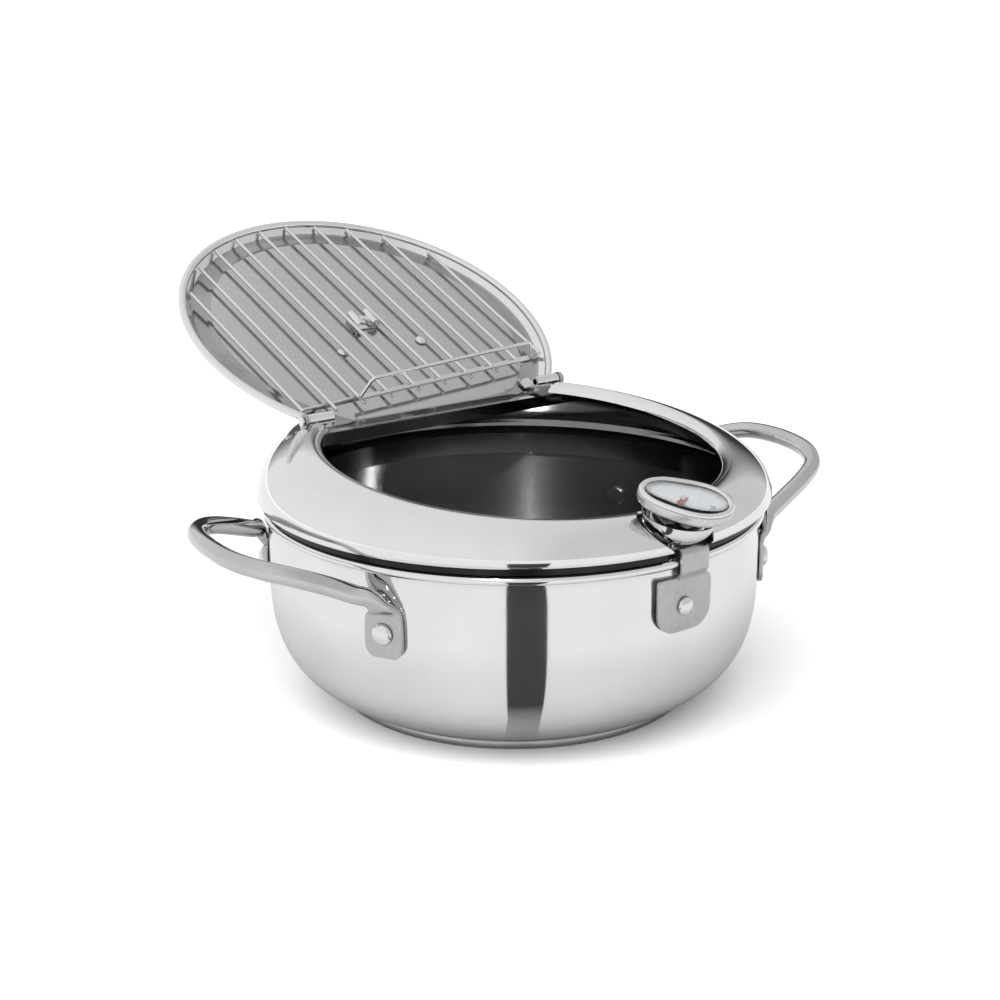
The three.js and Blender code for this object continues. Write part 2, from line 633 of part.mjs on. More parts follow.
function rackWires() {
  const opening = (HINGE_Y + OPENING_SHIFT) / Math.cos(rad(OPENING_TILT));
  return Array.from({ length: WIRE_COUNT }, (_, i) => {
    const x = (i - (WIRE_COUNT - 1) / 2) * WIRE_PITCH;
    const start = Math.min(WIRE_START, crossing(x, LID_REACH, START_RADIUS, 1));
    const tip = crossing(x, opening, RACK_RADIUS, -1);
    const wire = rodOf(WIRE_RADIUS, -start, -tip, 8).rotateX(Math.PI / 2).translate(x, 0, WIRE_DEPTH);
    return piece("rack_wire_" + (i + 1), wire, BRIGHT_WIRE);
  });
}

function rackCrossWire() {
  const wire = rodOf(CROSS_RADIUS, -CROSS_HALF, CROSS_HALF, 8)
    .rotateY(Math.PI / 2)
    .translate(0, CROSS_REACH, CROSS_DEPTH);
  return piece("rack_cross_wire", wire, BRIGHT_WIRE);
}

// A closed loop that stands on the long wires, near the hinge.
function rackFence() {
  const foot = WIRE_DEPTH - 2 * WIRE_RADIUS - GAP;
  const top = foot - FENCE_HEIGHT;
  const corners = [
    v3(FENCE_LEFT, FENCE_REACH, foot), v3(FENCE_RIGHT, FENCE_REACH, foot),
    v3(FENCE_RIGHT - 3.5, FENCE_REACH, top), v3(FENCE_LEFT + 6, FENCE_REACH, top),
  ];
  const rounding = 2;
  const path = new THREE.CurvePath();
  const towards = (from, to) => from.clone().addScaledVector(to.clone().sub(from).normalize(), rounding);
  corners.forEach((corner, i) => {
    const before = corners.at(i - 1);
    const after = corners[(i + 1) % 4];
    path.add(new THREE.QuadraticBezierCurve3(towards(corner, before), corner, towards(corner, after)));
    path.add(new THREE.LineCurve3(towards(corner, after), towards(after, corner)));
  });
  return piece("rack_fence_wire", new THREE.TubeGeometry(path, 96, WIRE_RADIUS, 8, true), BRIGHT_WIRE);
}

function rack() {
  const group = new THREE.Group();
  group.add(...rackWires(), rackCrossWire(), rackFence());
  group.position.y = -CLIP_REACH;
  group.rotation.z = rad(RACK_TURN);
  return group;
}

function lid() {
  const group = new THREE.Group();
  const inside = TRAY_DEPTH - GAP;
  const footTop = LID_SHEET + 2 * GAP + HANDLE_BAND + GAP;
  group.add(lidPanel(), lidHandle());
  group.add(lidKnuckle("lid_knuckle_left", -1), lidKnuckle("lid_knuckle_right", 1));
  group.add(lidStud("lid_stud_left", -STUD_X, STUD_REACH, inside, 3.2, 1.5, footTop));
  group.add(lidStud("lid_stud_right", STUD_X, STUD_REACH, inside, 3.2, 1.5, footTop));
  const clipHead = inside - CLIP_SHEET - GAP;
  const clipDepth = CLIP_SHEET + LID_SHEET + 3 * GAP;
  group.add(lidStud("rack_clip_rivet", 0, CLIP_REACH, clipHead, 2.4, 1, clipDepth));
  group.add(rackClip(), rack());
  group.position.set(0, HINGE_Y, HINGE_Z);
  group.rotation.x = rad(180 + OPEN_ANGLE);
  return group;
}

// ---- Thermometer, in its own frame -----------------------------------------------------------
// The head's outline: a pebble with one narrow end, as a radius at an angle from its long axis.
function headRadius(angle) {
  const wave = (size, count, at) => size * Math.cos(count * (angle - rad(at)));
  return 18.2 + wave(2, 1, 30) + wave(2.9, 2, -9) + wave(0.4, 3, 30);
}

// A turned profile whose radii are measured inward from the head's outline.
function headShape(profile, turns = 36) {
  const nominal = 30;
  const geometry = revolve(profile.map((p) => (p.x === 0 ? p : v2(nominal - p.x, p.y))), turns);
  const position = geometry.getAttribute("position");
  for (let i = 0; i < position.count; i++) {
    const x = position.getX(i);
    const y = position.getY(i);
    const radius = Math.hypot(x, y);
    if (radius < 1e-6) continue;
    const angle = Math.atan2(y, x);
    const outline = headRadius(angle - rad(HEAD_TURN));
    const wanted = outline - (nominal - radius);
    position.setXY(i, (x * wanted) / radius, (y * wanted) / radius);
  }
  return geometry;
}

function bowlCase() {
  const outer = [v2(3.4, 0), v2(8, 1), v2(12.6, 4), v2(15.4, 7.6), v2(BOWL_RADIUS, BOWL_DEPTH)];
  const inner = [v2(BOWL_RADIUS - 0.8, BOWL_DEPTH), v2(14.6, 8), v2(12, 4.8), v2(7.6, 2), v2(3.4, 1)];
  const hole = (STEM_RADIUS + GAP) / BOWL_FLATTEN;
  const bowl = revolve([v2(hole, 1), v2(hole, 0), ...outer, ...inner], 32);
  return piece("case_bowl", bowl.scale(1, BOWL_FLATTEN, 1).rotateZ(rad(HEAD_TURN)), MIRROR);
}

function caseSeal() {
  return piece("case_seal", tubeOf(7, STEM_RADIUS + GAP, 2.4, 3.4), SEAL);
}

function dialCase() {
  const cup = headShape([
    v2(0, HEAD_FLOOR), v2(7, HEAD_FLOOR), v2(1.5, HEAD_FLOOR + 2.4),
    v2(0.001, HEAD_FLOOR + 4), v2(0.001, HEAD_TOP),
    v2(HEAD_WALL, HEAD_TOP), v2(HEAD_WALL, HEAD_FLOOR + 4.2),
    v2(7, HEAD_FLOOR + 1.2), v2(0, HEAD_FLOOR + 1.2),
  ]);
  const hole = rodOf(STEM_RADIUS + GAP, 0, 20);
  return piece("dial_case", geometryOf(cut(solid(cup), hole)), CASE_GREY);
}

function dialBezel() {
  const low = HEAD_TOP + GAP;
  const high = low + BEZEL_HEIGHT;
  const profile = [v2(3, low), v2(0.001, low), v2(0.5, high), v2(2.2, high), v2(3, low + 1)];
  return piece("dial_bezel", headShape(profile), BRIGHT_WIRE);
}

function dialLens() {
  const low = HEAD_TOP + GAP;
  const profile = [v2(0, low), v2(3.4, low), v2(3.4, low + 1), v2(8, low + 1.7), v2(0, low + 2)];
  return piece("dial_lens", headShape(profile), GLASS);
}

function dialPlate() {
  const card = headShape([
    v2(0, CARD_HEIGHT), v2(2, CARD_HEIGHT), v2(2, CARD_HEIGHT + 0.4), v2(0, CARD_HEIGHT + 0.4),
  ]);
  return piece("dial_plate", geometryOf(cut(solid(card), rodOf(1.2, 10, 25, 12))), WHITE);
}

function stemTube() {
  const low = -STEM_LENGTH;
  const high = CARD_HEIGHT - 1.5;
  const profile = [
    v2(0, low), v2(STEM_RADIUS, low + 1), v2(STEM_RADIUS, high), v2(STEM_BORE, high),
    v2(STEM_BORE, low + 2), v2(0, low + 1.5),
  ];
  return piece("stem_tube", revolve(profile, 12), SATIN);
}

function thermometer() {
  const group = new THREE.Group();
  const low = -STEM_LENGTH + 3;
  const needleZ = CARD_HEIGHT + 1;
  group.add(bowlCase(), caseSeal(), dialCase(), dialBezel(), dialLens(), dialPlate(), stemTube());
  group.add(piece("bimetal_coil", tubeOf(0.95, 0.7, low, low + 25, 12), BRASS));
  group.add(piece("pointer_shaft", rodOf(0.45, low + 1, needleZ - GAP, 12), BRASS));
  const outline = [v2(-0.5, -3), v2(0.5, -3), v2(0.5, 0), v2(0, 9.5), v2(-0.5, 0)];
  const needle = plate(outline, needleZ, needleZ + 0.4).rotateZ(rad(HEAD_TURN + 130));
  const hub = rodOf(1.3, needleZ + 0.4 + GAP, needleZ + 1.3, 12);
  group.add(piece("pointer", needle, RED), piece("pointer_hub", hub, BRIGHT_WIRE));
  group.position.set(STEM_X, STEM_Y, STEM_Z);
  group.rotation.x = rad(STEM_TILT);
  return group;
}

// ---- Assembly -------------------------------------------------------------------------------
const fryer = new THREE.Group();
fryer.add(potBody(), baseDisc(), handles());
fryer.add(guardRing(), hingeEar("guard_hinge_left", -1), hingeEar("guard_hinge_right", 1));
fryer.add(hingePin("hinge_pin_left", -1), hingePin("hinge_pin_right", 1), lid());

const front = new THREE.Group();
front.add(bracket(), bracketRivet(), thermometer());
front.rotation.z = rad(BRACKET_TURN);
fryer.add(front);

export default fryer;
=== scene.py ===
"""Looks for the stove-top frying pot: polished pot and guard, brushed lid, wire rack, thermometer.

Lengths are millimetres in the frame of the CAD part (+Z up, -Y the front, hinge line along X) and are
turned into metres as each piece is made. The lid, the rack, the bracket and the thermometer are each
built in a frame of their own and set in place by a matrix.
"""

import math

import bpy
from mathutils import Matrix, Vector


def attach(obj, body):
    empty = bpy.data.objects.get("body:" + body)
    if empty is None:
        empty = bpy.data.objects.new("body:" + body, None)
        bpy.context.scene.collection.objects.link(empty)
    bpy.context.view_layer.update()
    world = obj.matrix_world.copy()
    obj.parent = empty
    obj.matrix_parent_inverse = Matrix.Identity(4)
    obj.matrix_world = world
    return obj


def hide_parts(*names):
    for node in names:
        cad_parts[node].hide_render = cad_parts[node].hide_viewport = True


MM = 0.001
GAP = 0.3  # clearance between neighbouring pieces
SHEET = 1.0  # sheet steel of the pot and the guard
TURNS = 256  # sides of a turned shape

# Pot
BOTTOM_RADIUS, BASE_RADIUS, BASE_HEIGHT = 87.0, 86.0, 4.0
BELLY_RADIUS, BELLY_HEIGHT = 117.6, 60.0
RIM_BEAD, RIM_Z = 2.2, 92.0
FLAT_RADIUS = 45.0

# Handles: a loop lists the middle line of its rod, from an ear to the apex, as (out, aside, up)
HANDLE_TURN = -5.3
ROD_RADIUS = 4.3
EAR_ANGLE = 30.8
EAR_WIDTH, EAR_THICKNESS, EAR_LOW = 19.0, 2.6, 52.6
EAR_TOP = 75.0  # the satin finish of the ears ends here
RIVET_Z, RIVET_HEAD = 63.7, 5.0
RIGHT_LOOP = [(113.6, 54.6, 82.6), (125.6, 50, 86.5), (140, 44.6, 91.3), (153, 37.5, 96),
              (159.9, 27, 99.2), (162.9, 14, 100.6), (163.8, 0, 101)]
LEFT_LOOP = [(113.2, 54.6, 81.6), (122.6, 49.4, 85.4), (135.1, 43.9, 89.7), (145, 37, 92.3),
             (151.7, 26.5, 93.5), (154.8, 14, 93.8), (155.6, 0, 93.9)]

# Bracket
BRACKET_TURN = 2.2
BRACKET_Y, STRAP_Y, STRIP = -118.2, -120.5, 1.2
PLATE_WIDTH, PLATE_LOW, PLATE_HIGH = 31.4, 60.5, 85.5
STRAP_WIDTH, STRAP_OFFSET = 16.0, 3.8
TAB_TOP, TAB_INNER_Y, TAB_LEFT, SLOT_WIDTH = 99.2, -106.5, -8.0, 4.6
BRACKET_RIVET_Z = 72.0

# Guard
GUARD_RADIUS, GUARD_LIP_Z = 122.6, 99.3
SHOULDER_RISE, SHOULDER_RUN = 17.6, 4.8
CREST_RADIUS, CREST_Z = 99.1, 122.7
ROLL_RADIUS, ROLL_ANGLE = 5.4, 82.0
OPENING_SHIFT, OPENING_TILT, LEAN_POWER = 5.9, 5.3, 0.62
LEDGE_RADIUS, LEDGE_Z = 118.8, 94.5
NECK_RADIUS, NECK_LOW = 114.9, 84.5
DECK_DROP, DECK_FRONT, DECK_FLANGE, CREST_END = 6.5, 61.5, 6.0, 60.0

# Hinge and lid
HINGE_Y, HINGE_Z = 64.5, 129.6
OPEN_ANGLE = 25.2
KNUCKLE_X = 61.5
LID_RADIUS, LID_BEAD, LID_REACH, LID_SHEET = 99.5, 2.0, 68.5, 0.8
TRAY_DEPTH, GROOVE_DEPTH, GROOVE_INNER, GROOVE_OUTER = 5.2, 6.0, 83.0, 92.5
LID_EDGE, BEAD_START = 0.8, 4.5
STUD_X, STUD_REACH = 24.0, 53.0
HANDLE_HEIGHT, HANDLE_LEG_X, HANDLE_BAND, HANDLE_WIDTH, HANDLE_FOOT_X = 22.0, 17.0, 1.5, 14.0, 31.0
CLIP_REACH, CLIP_LENGTH, CLIP_HALF, CLIP_SHEET = 74.5, 11.0, 7.0, 0.8

# Rack
RACK_TURN = -5.0
WIRE_COUNT, WIRE_PITCH, WIRE_RADIUS, WIRE_DEPTH = 10, 17.2, 1.0, 2.2
CROSS_RADIUS, CROSS_DEPTH, CROSS_REACH, CROSS_HALF = 0.7, 4.2, 55.0, 78.2
WIRE_START, RACK_RADIUS, START_RADIUS = 62.5, 92.2, 93.0
FENCE_REACH, FENCE_LEFT, FENCE_RIGHT, FENCE_HEIGHT = 61.0, -46.0, 66.0, 11.0

# Thermometer
STEM_TILT, STEM_X, STEM_Y, STEM_Z = 15.0, -3.0, -114.5, 102.1
STEM_RADIUS, STEM_LENGTH = 1.6, 64.0
BOWL_RADIUS, BOWL_DEPTH, BOWL_FLATTEN = 16.5, 12.2, 0.86
HEAD_TURN, HEAD_FLOOR, HEAD_TOP, HEAD_WALL = -38.7, 12.9, 19.8, 1.2
# The outline of its head is a circle with waves of (size, count, bearing) added.
HEAD_RADIUS, HEAD_WAVES = 18.2, ((2, 1, 30), (2.9, 2, -9), (0.4, 3, 30))
CARD_HEIGHT, CARD_THICKNESS, BEZEL_HEIGHT = 17.6, 0.4, 1.6
POINTER_TURN = 130

# Camera and studio
CAMERA_PLACE, CAMERA_TARGET = (-514.9, -695.8, 353.4), (0, 0, 92.1)
CAMERA_LENS, CAMERA_SENSOR, CAMERA_SHIFT = 67.6, 36, -0.0137
CAMERA_TURN = 36.5  # how far round from the front the camera stands
STREAK_BEARING, STREAK_LEAN, STREAK_SPREAD, STREAK_POWER = -46, 49, 3, 9
SHADE_RADIUS, FLOOR_REACH = 3000, 20000
DARK_BEARING, DARK_SKEW = -33.6, 2.9

SLOPE = math.tan(math.radians(OPENING_TILT))

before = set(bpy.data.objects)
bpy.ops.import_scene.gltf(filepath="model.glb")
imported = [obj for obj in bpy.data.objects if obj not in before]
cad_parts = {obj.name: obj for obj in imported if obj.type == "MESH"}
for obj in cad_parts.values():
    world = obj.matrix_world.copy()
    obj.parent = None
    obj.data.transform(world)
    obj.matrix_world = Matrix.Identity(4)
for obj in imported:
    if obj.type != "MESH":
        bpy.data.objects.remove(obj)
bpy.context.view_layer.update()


# ---- Frames of the sub-assemblies -----------------------------------------------------------
def turn(degrees, axis):
    return Matrix.Rotation(math.radians(degrees), 4, axis)


def move(x, y, z):
    return Matrix.Translation((x, y, z))


POT = Matrix.Identity(4)
HANDLES = turn(HANDLE_TURN, "Z")
BRACKET = turn(BRACKET_TURN, "Z")
THERMOMETER = BRACKET @ move(STEM_X, STEM_Y, STEM_Z) @ turn(STEM_TILT, "X")
LID = move(0, HINGE_Y, HINGE_Z) @ turn(180 + OPEN_ANGLE, "X")
RACK = LID @ move(0, -CLIP_REACH, 0) @ turn(RACK_TURN, "Z")


# ---- Materials --------------------------------------------------------------------------------
class Nodes:
    """A new material's node tree, with short ways to add and join nodes."""

    def __init__(self, name):
        self.material = bpy.data.materials.new(name)
        self.material.use_nodes = True
        self.tree = self.material.node_tree
        self.shader = self.tree.nodes["Principled BSDF"]

    def add(self, kind, **values):
        node = self.tree.nodes.new(kind)
        for key, value in values.items():
            if key in node.inputs:
                node.inputs[key].default_value = value
            else:
                setattr(node, key, value)
        return node

    def link(self, source, target):
        self.tree.links.new(source, target)

    def object_space(self, scale, turned=(0, 0, 0)):
        mapping = self.add("ShaderNodeMapping")
        mapping.inputs["Scale"].default_value = scale
        mapping.inputs["Rotation"].default_value = turned
        self.link(self.add("ShaderNodeTexCoord").outputs["Object"], mapping.inputs["Vector"])
        return mapping.outputs["Vector"]

    def noise(self, vector, scale, detail=3.0, rough=0.5):
        node = self.add("ShaderNodeTexNoise", Scale=scale, Detail=detail, Roughness=rough)
        self.link(vector, node.inputs["Vector"])
        return node.outputs["Fac"]

    def ramp(self, factor, low, high, start=0.3, end=0.7):
        node = self.add("ShaderNodeValToRGB")
        node.color_ramp.elements[0].position = start
        node.color_ramp.elements[1].position = end
        node.color_ramp.elements[0].color = (*low, 1)
        node.color_ramp.elements[1].color = (*high, 1)
        self.link(factor, node.inputs["Fac"])
        return node.outputs["Color"]

    def spread(self, factor, low, high):
        node = self.add("ShaderNodeMapRange")
        node.inputs["From Min"].default_value = 0.3
        node.inputs["From Max"].default_value = 0.7
        node.inputs["To Min"].default_value = low
        node.inputs["To Max"].default_value = high
        self.link(factor, node.inputs["Value"])
        return node.outputs["Result"]

    def bump(self, height, strength, distance):
        node = self.add("ShaderNodeBump", Strength=strength, Distance=distance)
        self.link(height, node.inputs["Height"])
        self.link(node.outputs["Normal"], self.shader.inputs["Normal"])


def grey(value, warmth=0.0):
    return (value * (1 + warmth), value, value * (1 - warmth))


def polished(name, low, high, rough=(0.04, 0.09)):
    """Mirror-polished steel: faint cloudiness from buffing, and a waviness too slight to see directly."""
    made = Nodes(name)
    made.shader.inputs["Metallic"].default_value = 1.0
    cloud = made.noise(made.object_space((1, 1, 1)), 28, 4, 0.6)
    made.link(made.ramp(cloud, grey(low), grey(high)), made.shader.inputs["Base Color"])
    fine = made.noise(made.object_space((1, 1, 6)), 160, 5, 0.7)
    made.link(made.spread(fine, *rough), made.shader.inputs["Roughness"])
    wave = made.noise(made.object_space((1, 1, 1)), 34, 1, 0.4)
    made.bump(wave, 0.06, 0.0004)
    return made.material


def spun(name, low, high, rough):
    """Steel turned on a lathe: rings too fine to see that draw a highlight out into a streak across them."""
    material = polished(name, low, high, rough)
    tree = material.node_tree
    shader = tree.nodes["Principled BSDF"]
    shader.inputs["Anisotropic"].default_value = 0.9
    shader.inputs["Anisotropic Rotation"].default_value = 0.25
    tree.nodes["Bump"].inputs["Strength"].default_value = 0.01
    tangent = tree.nodes.new("ShaderNodeTangent")
    tangent.direction_type = "RADIAL"
    tangent.axis = "Z"
    tree.links.new(tangent.outputs["Tangent"], shader.inputs["Tangent"])
    return material


def brushed(name, low, high, rough, stretch, strength=0.25, turned=(0, 0, 0)):
    """Satin steel: a fine grain drawn out along one direction."""
    made = Nodes(name)
    made.shader.inputs["Metallic"].default_value = 1.0
    grain = made.noise(made.object_space(stretch, turned), 900, 4, 0.65)
    made.link(made.ramp(grain, grey(low), grey(high), 0.25, 0.75), made.shader.inputs["Base Color"])
    patch = made.noise(made.object_space((1, 1, 1)), 45, 3, 0.5)
    made.link(made.spread(patch, *rough), made.shader.inputs["Roughness"])
    made.bump(grain, strength, 0.00006)
    return made.material


def coated(name, low, high, rough, scale=500, metallic=0.0):
    """Paint, print or plastic with a faint grain."""
    made = Nodes(name)
    made.shader.inputs["Metallic"].default_value = metallic
    grain = made.noise(made.object_space((1, 1, 1)), scale, 3, 0.6)
    made.link(made.ramp(grain, low, high), made.shader.inputs["Base Color"])
    made.link(made.spread(grain, *rough), made.shader.inputs["Roughness"])
    made.bump(grain, 0.04, 0.00003)
    return made.material


def lens_glass():
    made = Nodes("lens_glass")
    made.shader.inputs["Transmission Weight"].default_value = 1.0
    made.shader.inputs["IOR"].default_value = 1.3
    made.shader.inputs["Base Color"].default_value = (0.96, 0.98, 1.0, 1)
    smear = made.noise(made.object_space((1, 1, 1)), 90, 3, 0.5)
    made.link(made.spread(smear, 0.0, 0.04), made.shader.inputs["Roughness"])
    return made.material


OUTER_STEEL = polished("outer_steel", 0.70, 0.75)
# Painted shade: a dark steel colour for the guard's faces that look into the pot or lie below its lip,
# standing for the shade there.
INNER_STEEL_PAINTED_SHADE = polished("inner_steel_painted_shade", 0.22, 0.30, (0.05, 0.14))
# Painted shade: the pot's spun inside gets a dark steel colour that stands for the shade inside the pot; its
# streaks come from the lamp.
SPUN_STEEL_PAINTED_SHADE = spun("spun_steel_painted_shade", 0.22, 0.28, (0.17, 0.20))
SHADED_STEEL = polished("shaded_steel", 0.02, 0.04, (0.2, 0.3))
# Painted shade: the handles' steel is darker than the pot's, standing for the shaded floor that they reflect.
HANDLE_STEEL_PAINTED_SHADE = polished("handle_steel_painted_shade", 0.48, 0.56, (0.07, 0.12))
WIRE_STEEL = polished("wire_steel", 0.66, 0.74, (0.08, 0.16))
LID_STEEL = brushed("lid_steel", 0.46, 0.54, (0.09, 0.13), (1, 1, 1), 0.12)
# Painted shade: a darker steel for the lid's groove, standing for the dark band that it shows.
CHANNEL_STEEL_PAINTED_SHADE = polished("channel_steel_painted_shade", 0.30, 0.40, (0.08, 0.16))
SATIN_STEEL = brushed("satin_steel", 0.40, 0.50, (0.28, 0.38), (1, 1, 0.25))
BASE_STEEL = brushed("base_steel", 0.42, 0.52, (0.26, 0.36), (1, 0.15, 1))
CASE_PAINT = coated("case_paint", grey(0.50), grey(0.53), (0.22, 0.28), 900, metallic=0.6)
FACE_PRINT = coated("face_print", grey(0.60), grey(0.66), (0.5, 0.6))
RED_PRINT = coated("red_print", (0.55, 0.08, 0.06), (0.62, 0.11, 0.08), (0.4, 0.5))
BLUE_PRINT = coated("blue_print", (0.22, 0.28, 0.42), (0.27, 0.33, 0.48), (0.4, 0.5))
DARK_PRINT = coated("dark_print", grey(0.03), grey(0.05), (0.4, 0.5))
SEAL_RUBBER = coated("seal_rubber", grey(0.015), grey(0.03), (0.6, 0.75))
BRASS = coated("plain_brass", (0.55, 0.38, 0.14), (0.62, 0.44, 0.17), (0.25, 0.35), metallic=1.0)
LENS_GLASS = lens_glass()


# ---- Shapes: each is a list of vertices and a list of faces --------------------------------------
def arc(cx, cy, radius, start, end, steps):
    angles = [math.radians(start + (end - start) * i / steps) for i in range(steps + 1)]
    return [(cx + radius * math.cos(a), cy + radius * math.sin(a)) for a in angles]


def bezier(points, steps):
    """Points and unit tangents along a cubic curve."""
    a, b, c, d = (Vector(p) for p in points)
    found = []
    for i in range(steps + 1):
        t = i / steps
        s = 1 - t
        at = a * s**3 + b * 3 * s * s * t + c * 3 * s * t * t + d * t**3
        along = (b - a) * s * s + (c - b) * 2 * s * t + (d - c) * t * t
        found.append((t, at, along.normalized()))
    return found


def revolve(profile, turns=TURNS):
    """A profile of (radius, height) turned about Z. It runs up the outer side and down the inner one;
    off the axis, it closes on itself."""
    verts, rings = [], []
    for radius, height in profile:
        count = turns if radius > 0 else 1
        rings.append([len(verts) + i for i in range(count)])
        angles = [2 * math.pi * i / turns for i in range(count)]
        verts += [(radius * math.sin(a), -radius * math.cos(a), height) for a in angles]
    closed = profile[0][0] > 0 or profile[-1][0] > 0
    following = rings[1:] + (rings[:1] if closed else [])
    faces = []
    for low, high in zip(rings, following):
        faces += band(low, high, turns)
    return verts, faces


def band(low, high, turns):
    """Faces between two rings of vertices, either of which may be a single point."""
    faces = []
    for i in range(turns):
        j = (i + 1) % turns
        corners = [low[i % len(low)], low[j % len(low)], high[j % len(high)], high[i % len(high)]]
        face = list(dict.fromkeys(corners))
        if len(face) > 2:
            faces.append(face)
    return faces


def sweep(stations, closed=False):
    """A tube through stations of (centre, across, over): each ring is a superellipse whose half axes are
    the vectors across and over, with a power that squares its corners."""
    sides = 28
    verts, rings = [], []
    for centre, across, over, power in stations:
        rings.append([len(verts) + i for i in range(sides)])
        for i in range(sides):
            a = 2 * math.pi * i / sides
            c, s = math.cos(a), math.sin(a)
            u = math.copysign(abs(c) ** (2 / power), c)
            v = math.copysign(abs(s) ** (2 / power), s)
            verts.append(tuple(centre + across * u + over * v))
    faces = []
    following = rings[1:] + (rings[:1] if closed else [])
    for low, high in zip(rings, following):
        faces += band(low, high, sides)
    if not closed:
        faces += [rings[0][::-1], rings[-1]]
    return verts, faces


def smooth_path(points, steps):
    """A Catmull-Rom curve through points with any number of values, as a list of tuples."""
    last = len(points) - 1
    found = []
    for k in range(last):
        near = [points[min(max(k + j, 0), last)] for j in (-1, 0, 1, 2)]
        for i in range(steps):
            t = i / steps
            found.append(tuple(catmull(*values, t) for values in zip(*near)))
    return found + [tuple(points[-1])]


def catmull(a, b, c, d, t):
    square = (2 * a - 5 * b + 4 * c - d) * t**2
    cube = (3 * b - a - 3 * c + d) * t**3
    return 0.5 * (2 * b + (c - a) * t + square + cube)


def rod(path, radius, closed=False):
    """A round wire along a path, with softly rounded ends."""
    points = [Vector(p) for p in path]
    count = len(points)
    across = None
    stations = []
    for i, point in enumerate(points):
        before = points[i - 1] if closed or i else point
        after = points[(i + 1) % count] if closed or i < count - 1 else point
        along = (after - before).normalized()
        if across is None:
            across = along.orthogonal().normalized()
        across = (across - along * across.dot(along)).normalized()
        stations.append((point, across * radius, along.cross(across) * radius, 2))
    if not closed:
        stations = end_cap(stations, points[0] - points[1], radius)[::-1] + stations
        stations += end_cap(stations[::-1], points[-1] - points[-2], radius)
    return sweep(stations, closed)


def end_cap(stations, outward, radius):
    """Rings that round off the end of a rod, from its last ring outwards."""
    point, across, over, power = stations[0]
    away = outward.normalized() * radius * 0.35
    steps = [(math.sin(math.radians(a)), math.cos(math.radians(a))) for a in (30, 60, 80)]
    return [(point + away * s, across * (0.65 + 0.35 * c), over * (0.65 + 0.35 * c), power) for s, c in steps]


def extrude(outline, low, high):
    """A flat outline in X and Y, run anticlockwise, raised from one height to another."""
    count = len(outline)
    verts = [(x, y, z) for z in (low, high) for x, y in outline]
    faces = [list(range(count))[::-1], list(range(count, 2 * count))]
    for i in range(count):
        j = (i + 1) % count
        faces.append([i, j, count + j, count + i])
    return verts, faces


def box(low, high):
    x0, y0, z0 = low
    x1, y1, z1 = high
    return extrude([(x0, y0), (x1, y0), (x1, y1), (x0, y1)], z0, z1)


def placed(shape, matrix):
    verts, faces = shape
    return [tuple(matrix @ Vector(v)) for v in verts], faces


# ---- From shapes to pieces ------------------------------------------------------------------------
def raw_object(name, shape, matrix=POT):
    verts, faces = placed(shape, Matrix.Scale(MM, 4) @ matrix)
    mesh = bpy.data.meshes.new(name)
    mesh.from_pydata(verts, [], faces)
    mesh.update()
    made = bpy.data.objects.new(name, mesh)
    bpy.context.scene.collection.objects.link(made)
    return made


def carve(made, shape, operation="DIFFERENCE", matrix=POT):
    """Joins a shape to a piece, cuts it out of the piece, or keeps only what they share."""
    combine(made, raw_object("tool", shape, matrix), operation)


def combine(made, tool, operation):
    """Joins a piece with another one or cuts it by that one, which is used up."""
    modifier = made.modifiers.new("carve", "BOOLEAN")
    modifier.operation = operation
    modifier.solver = "MANIFOLD"
    modifier.object = tool
    settle(made)
    bpy.data.objects.remove(tool)


def settle(made):
    """Puts the result of a piece's modifiers into its mesh."""
    bpy.context.view_layer.update()
    shown = made.evaluated_get(bpy.context.evaluated_depsgraph_get())
    mesh = bpy.data.meshes.new_from_object(shown)
    made.modifiers.clear()
    made.data = mesh


def round_edges(made, width, angle):
    """Adds a narrow bevel along the edges that turn by more than an angle."""
    modifier = made.modifiers.new("soften", "BEVEL")
    modifier.width = width * MM
    modifier.segments = 2
    modifier.limit_method = "ANGLE"
    modifier.angle_limit = math.radians(angle)


def soften(made, width, angle=35):
    """Rounds a piece's hard edges in its mesh."""
    round_edges(made, width, angle)
    settle(made)


def surface(made, material, sharp):
    made.data.materials.clear()
    made.data.materials.append(material)
    made.data.shade_smooth()
    made.data.set_sharp_from_angle(angle=math.radians(sharp))


def dress(made, material, body, slot, *nodes, sharp=40):
    """Finishes a piece: its surface, the body that it rides on and the CAD nodes that it stands for."""
    surface(made, material, sharp)
    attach(made, body)
    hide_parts(*nodes)


def dress_node(node, material, width=0.25, sharp=40):
    """Gives a CAD node that stays a finish and rounded edges."""
    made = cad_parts[node]
    surface(made, material, sharp)
    if width:
        round_edges(made, width, sharp)


def second_material(made, material, test):
    """Gives the faces that pass a test, on their centre and normal in millimetres, another material."""
    made.data.materials.append(material)
    index = len(made.data.materials) - 1
    for face in made.data.polygons:
        if test(face.center / MM, face.normal):
            face.material_index = index


# ---- Pot -------------------------------------------------------------------------------------------
def belly(inset):
    start = BASE_HEIGHT + GAP
    curve = bezier(
        [(BOTTOM_RADIUS, start), (BOTTOM_RADIUS + 19, start + 10), (BELLY_RADIUS, BELLY_HEIGHT - 35),
         (BELLY_RADIUS, BELLY_HEIGHT)], 36)
    return [(at.x - along.y * inset, at.y + along.x * inset) for _, at, along in curve]


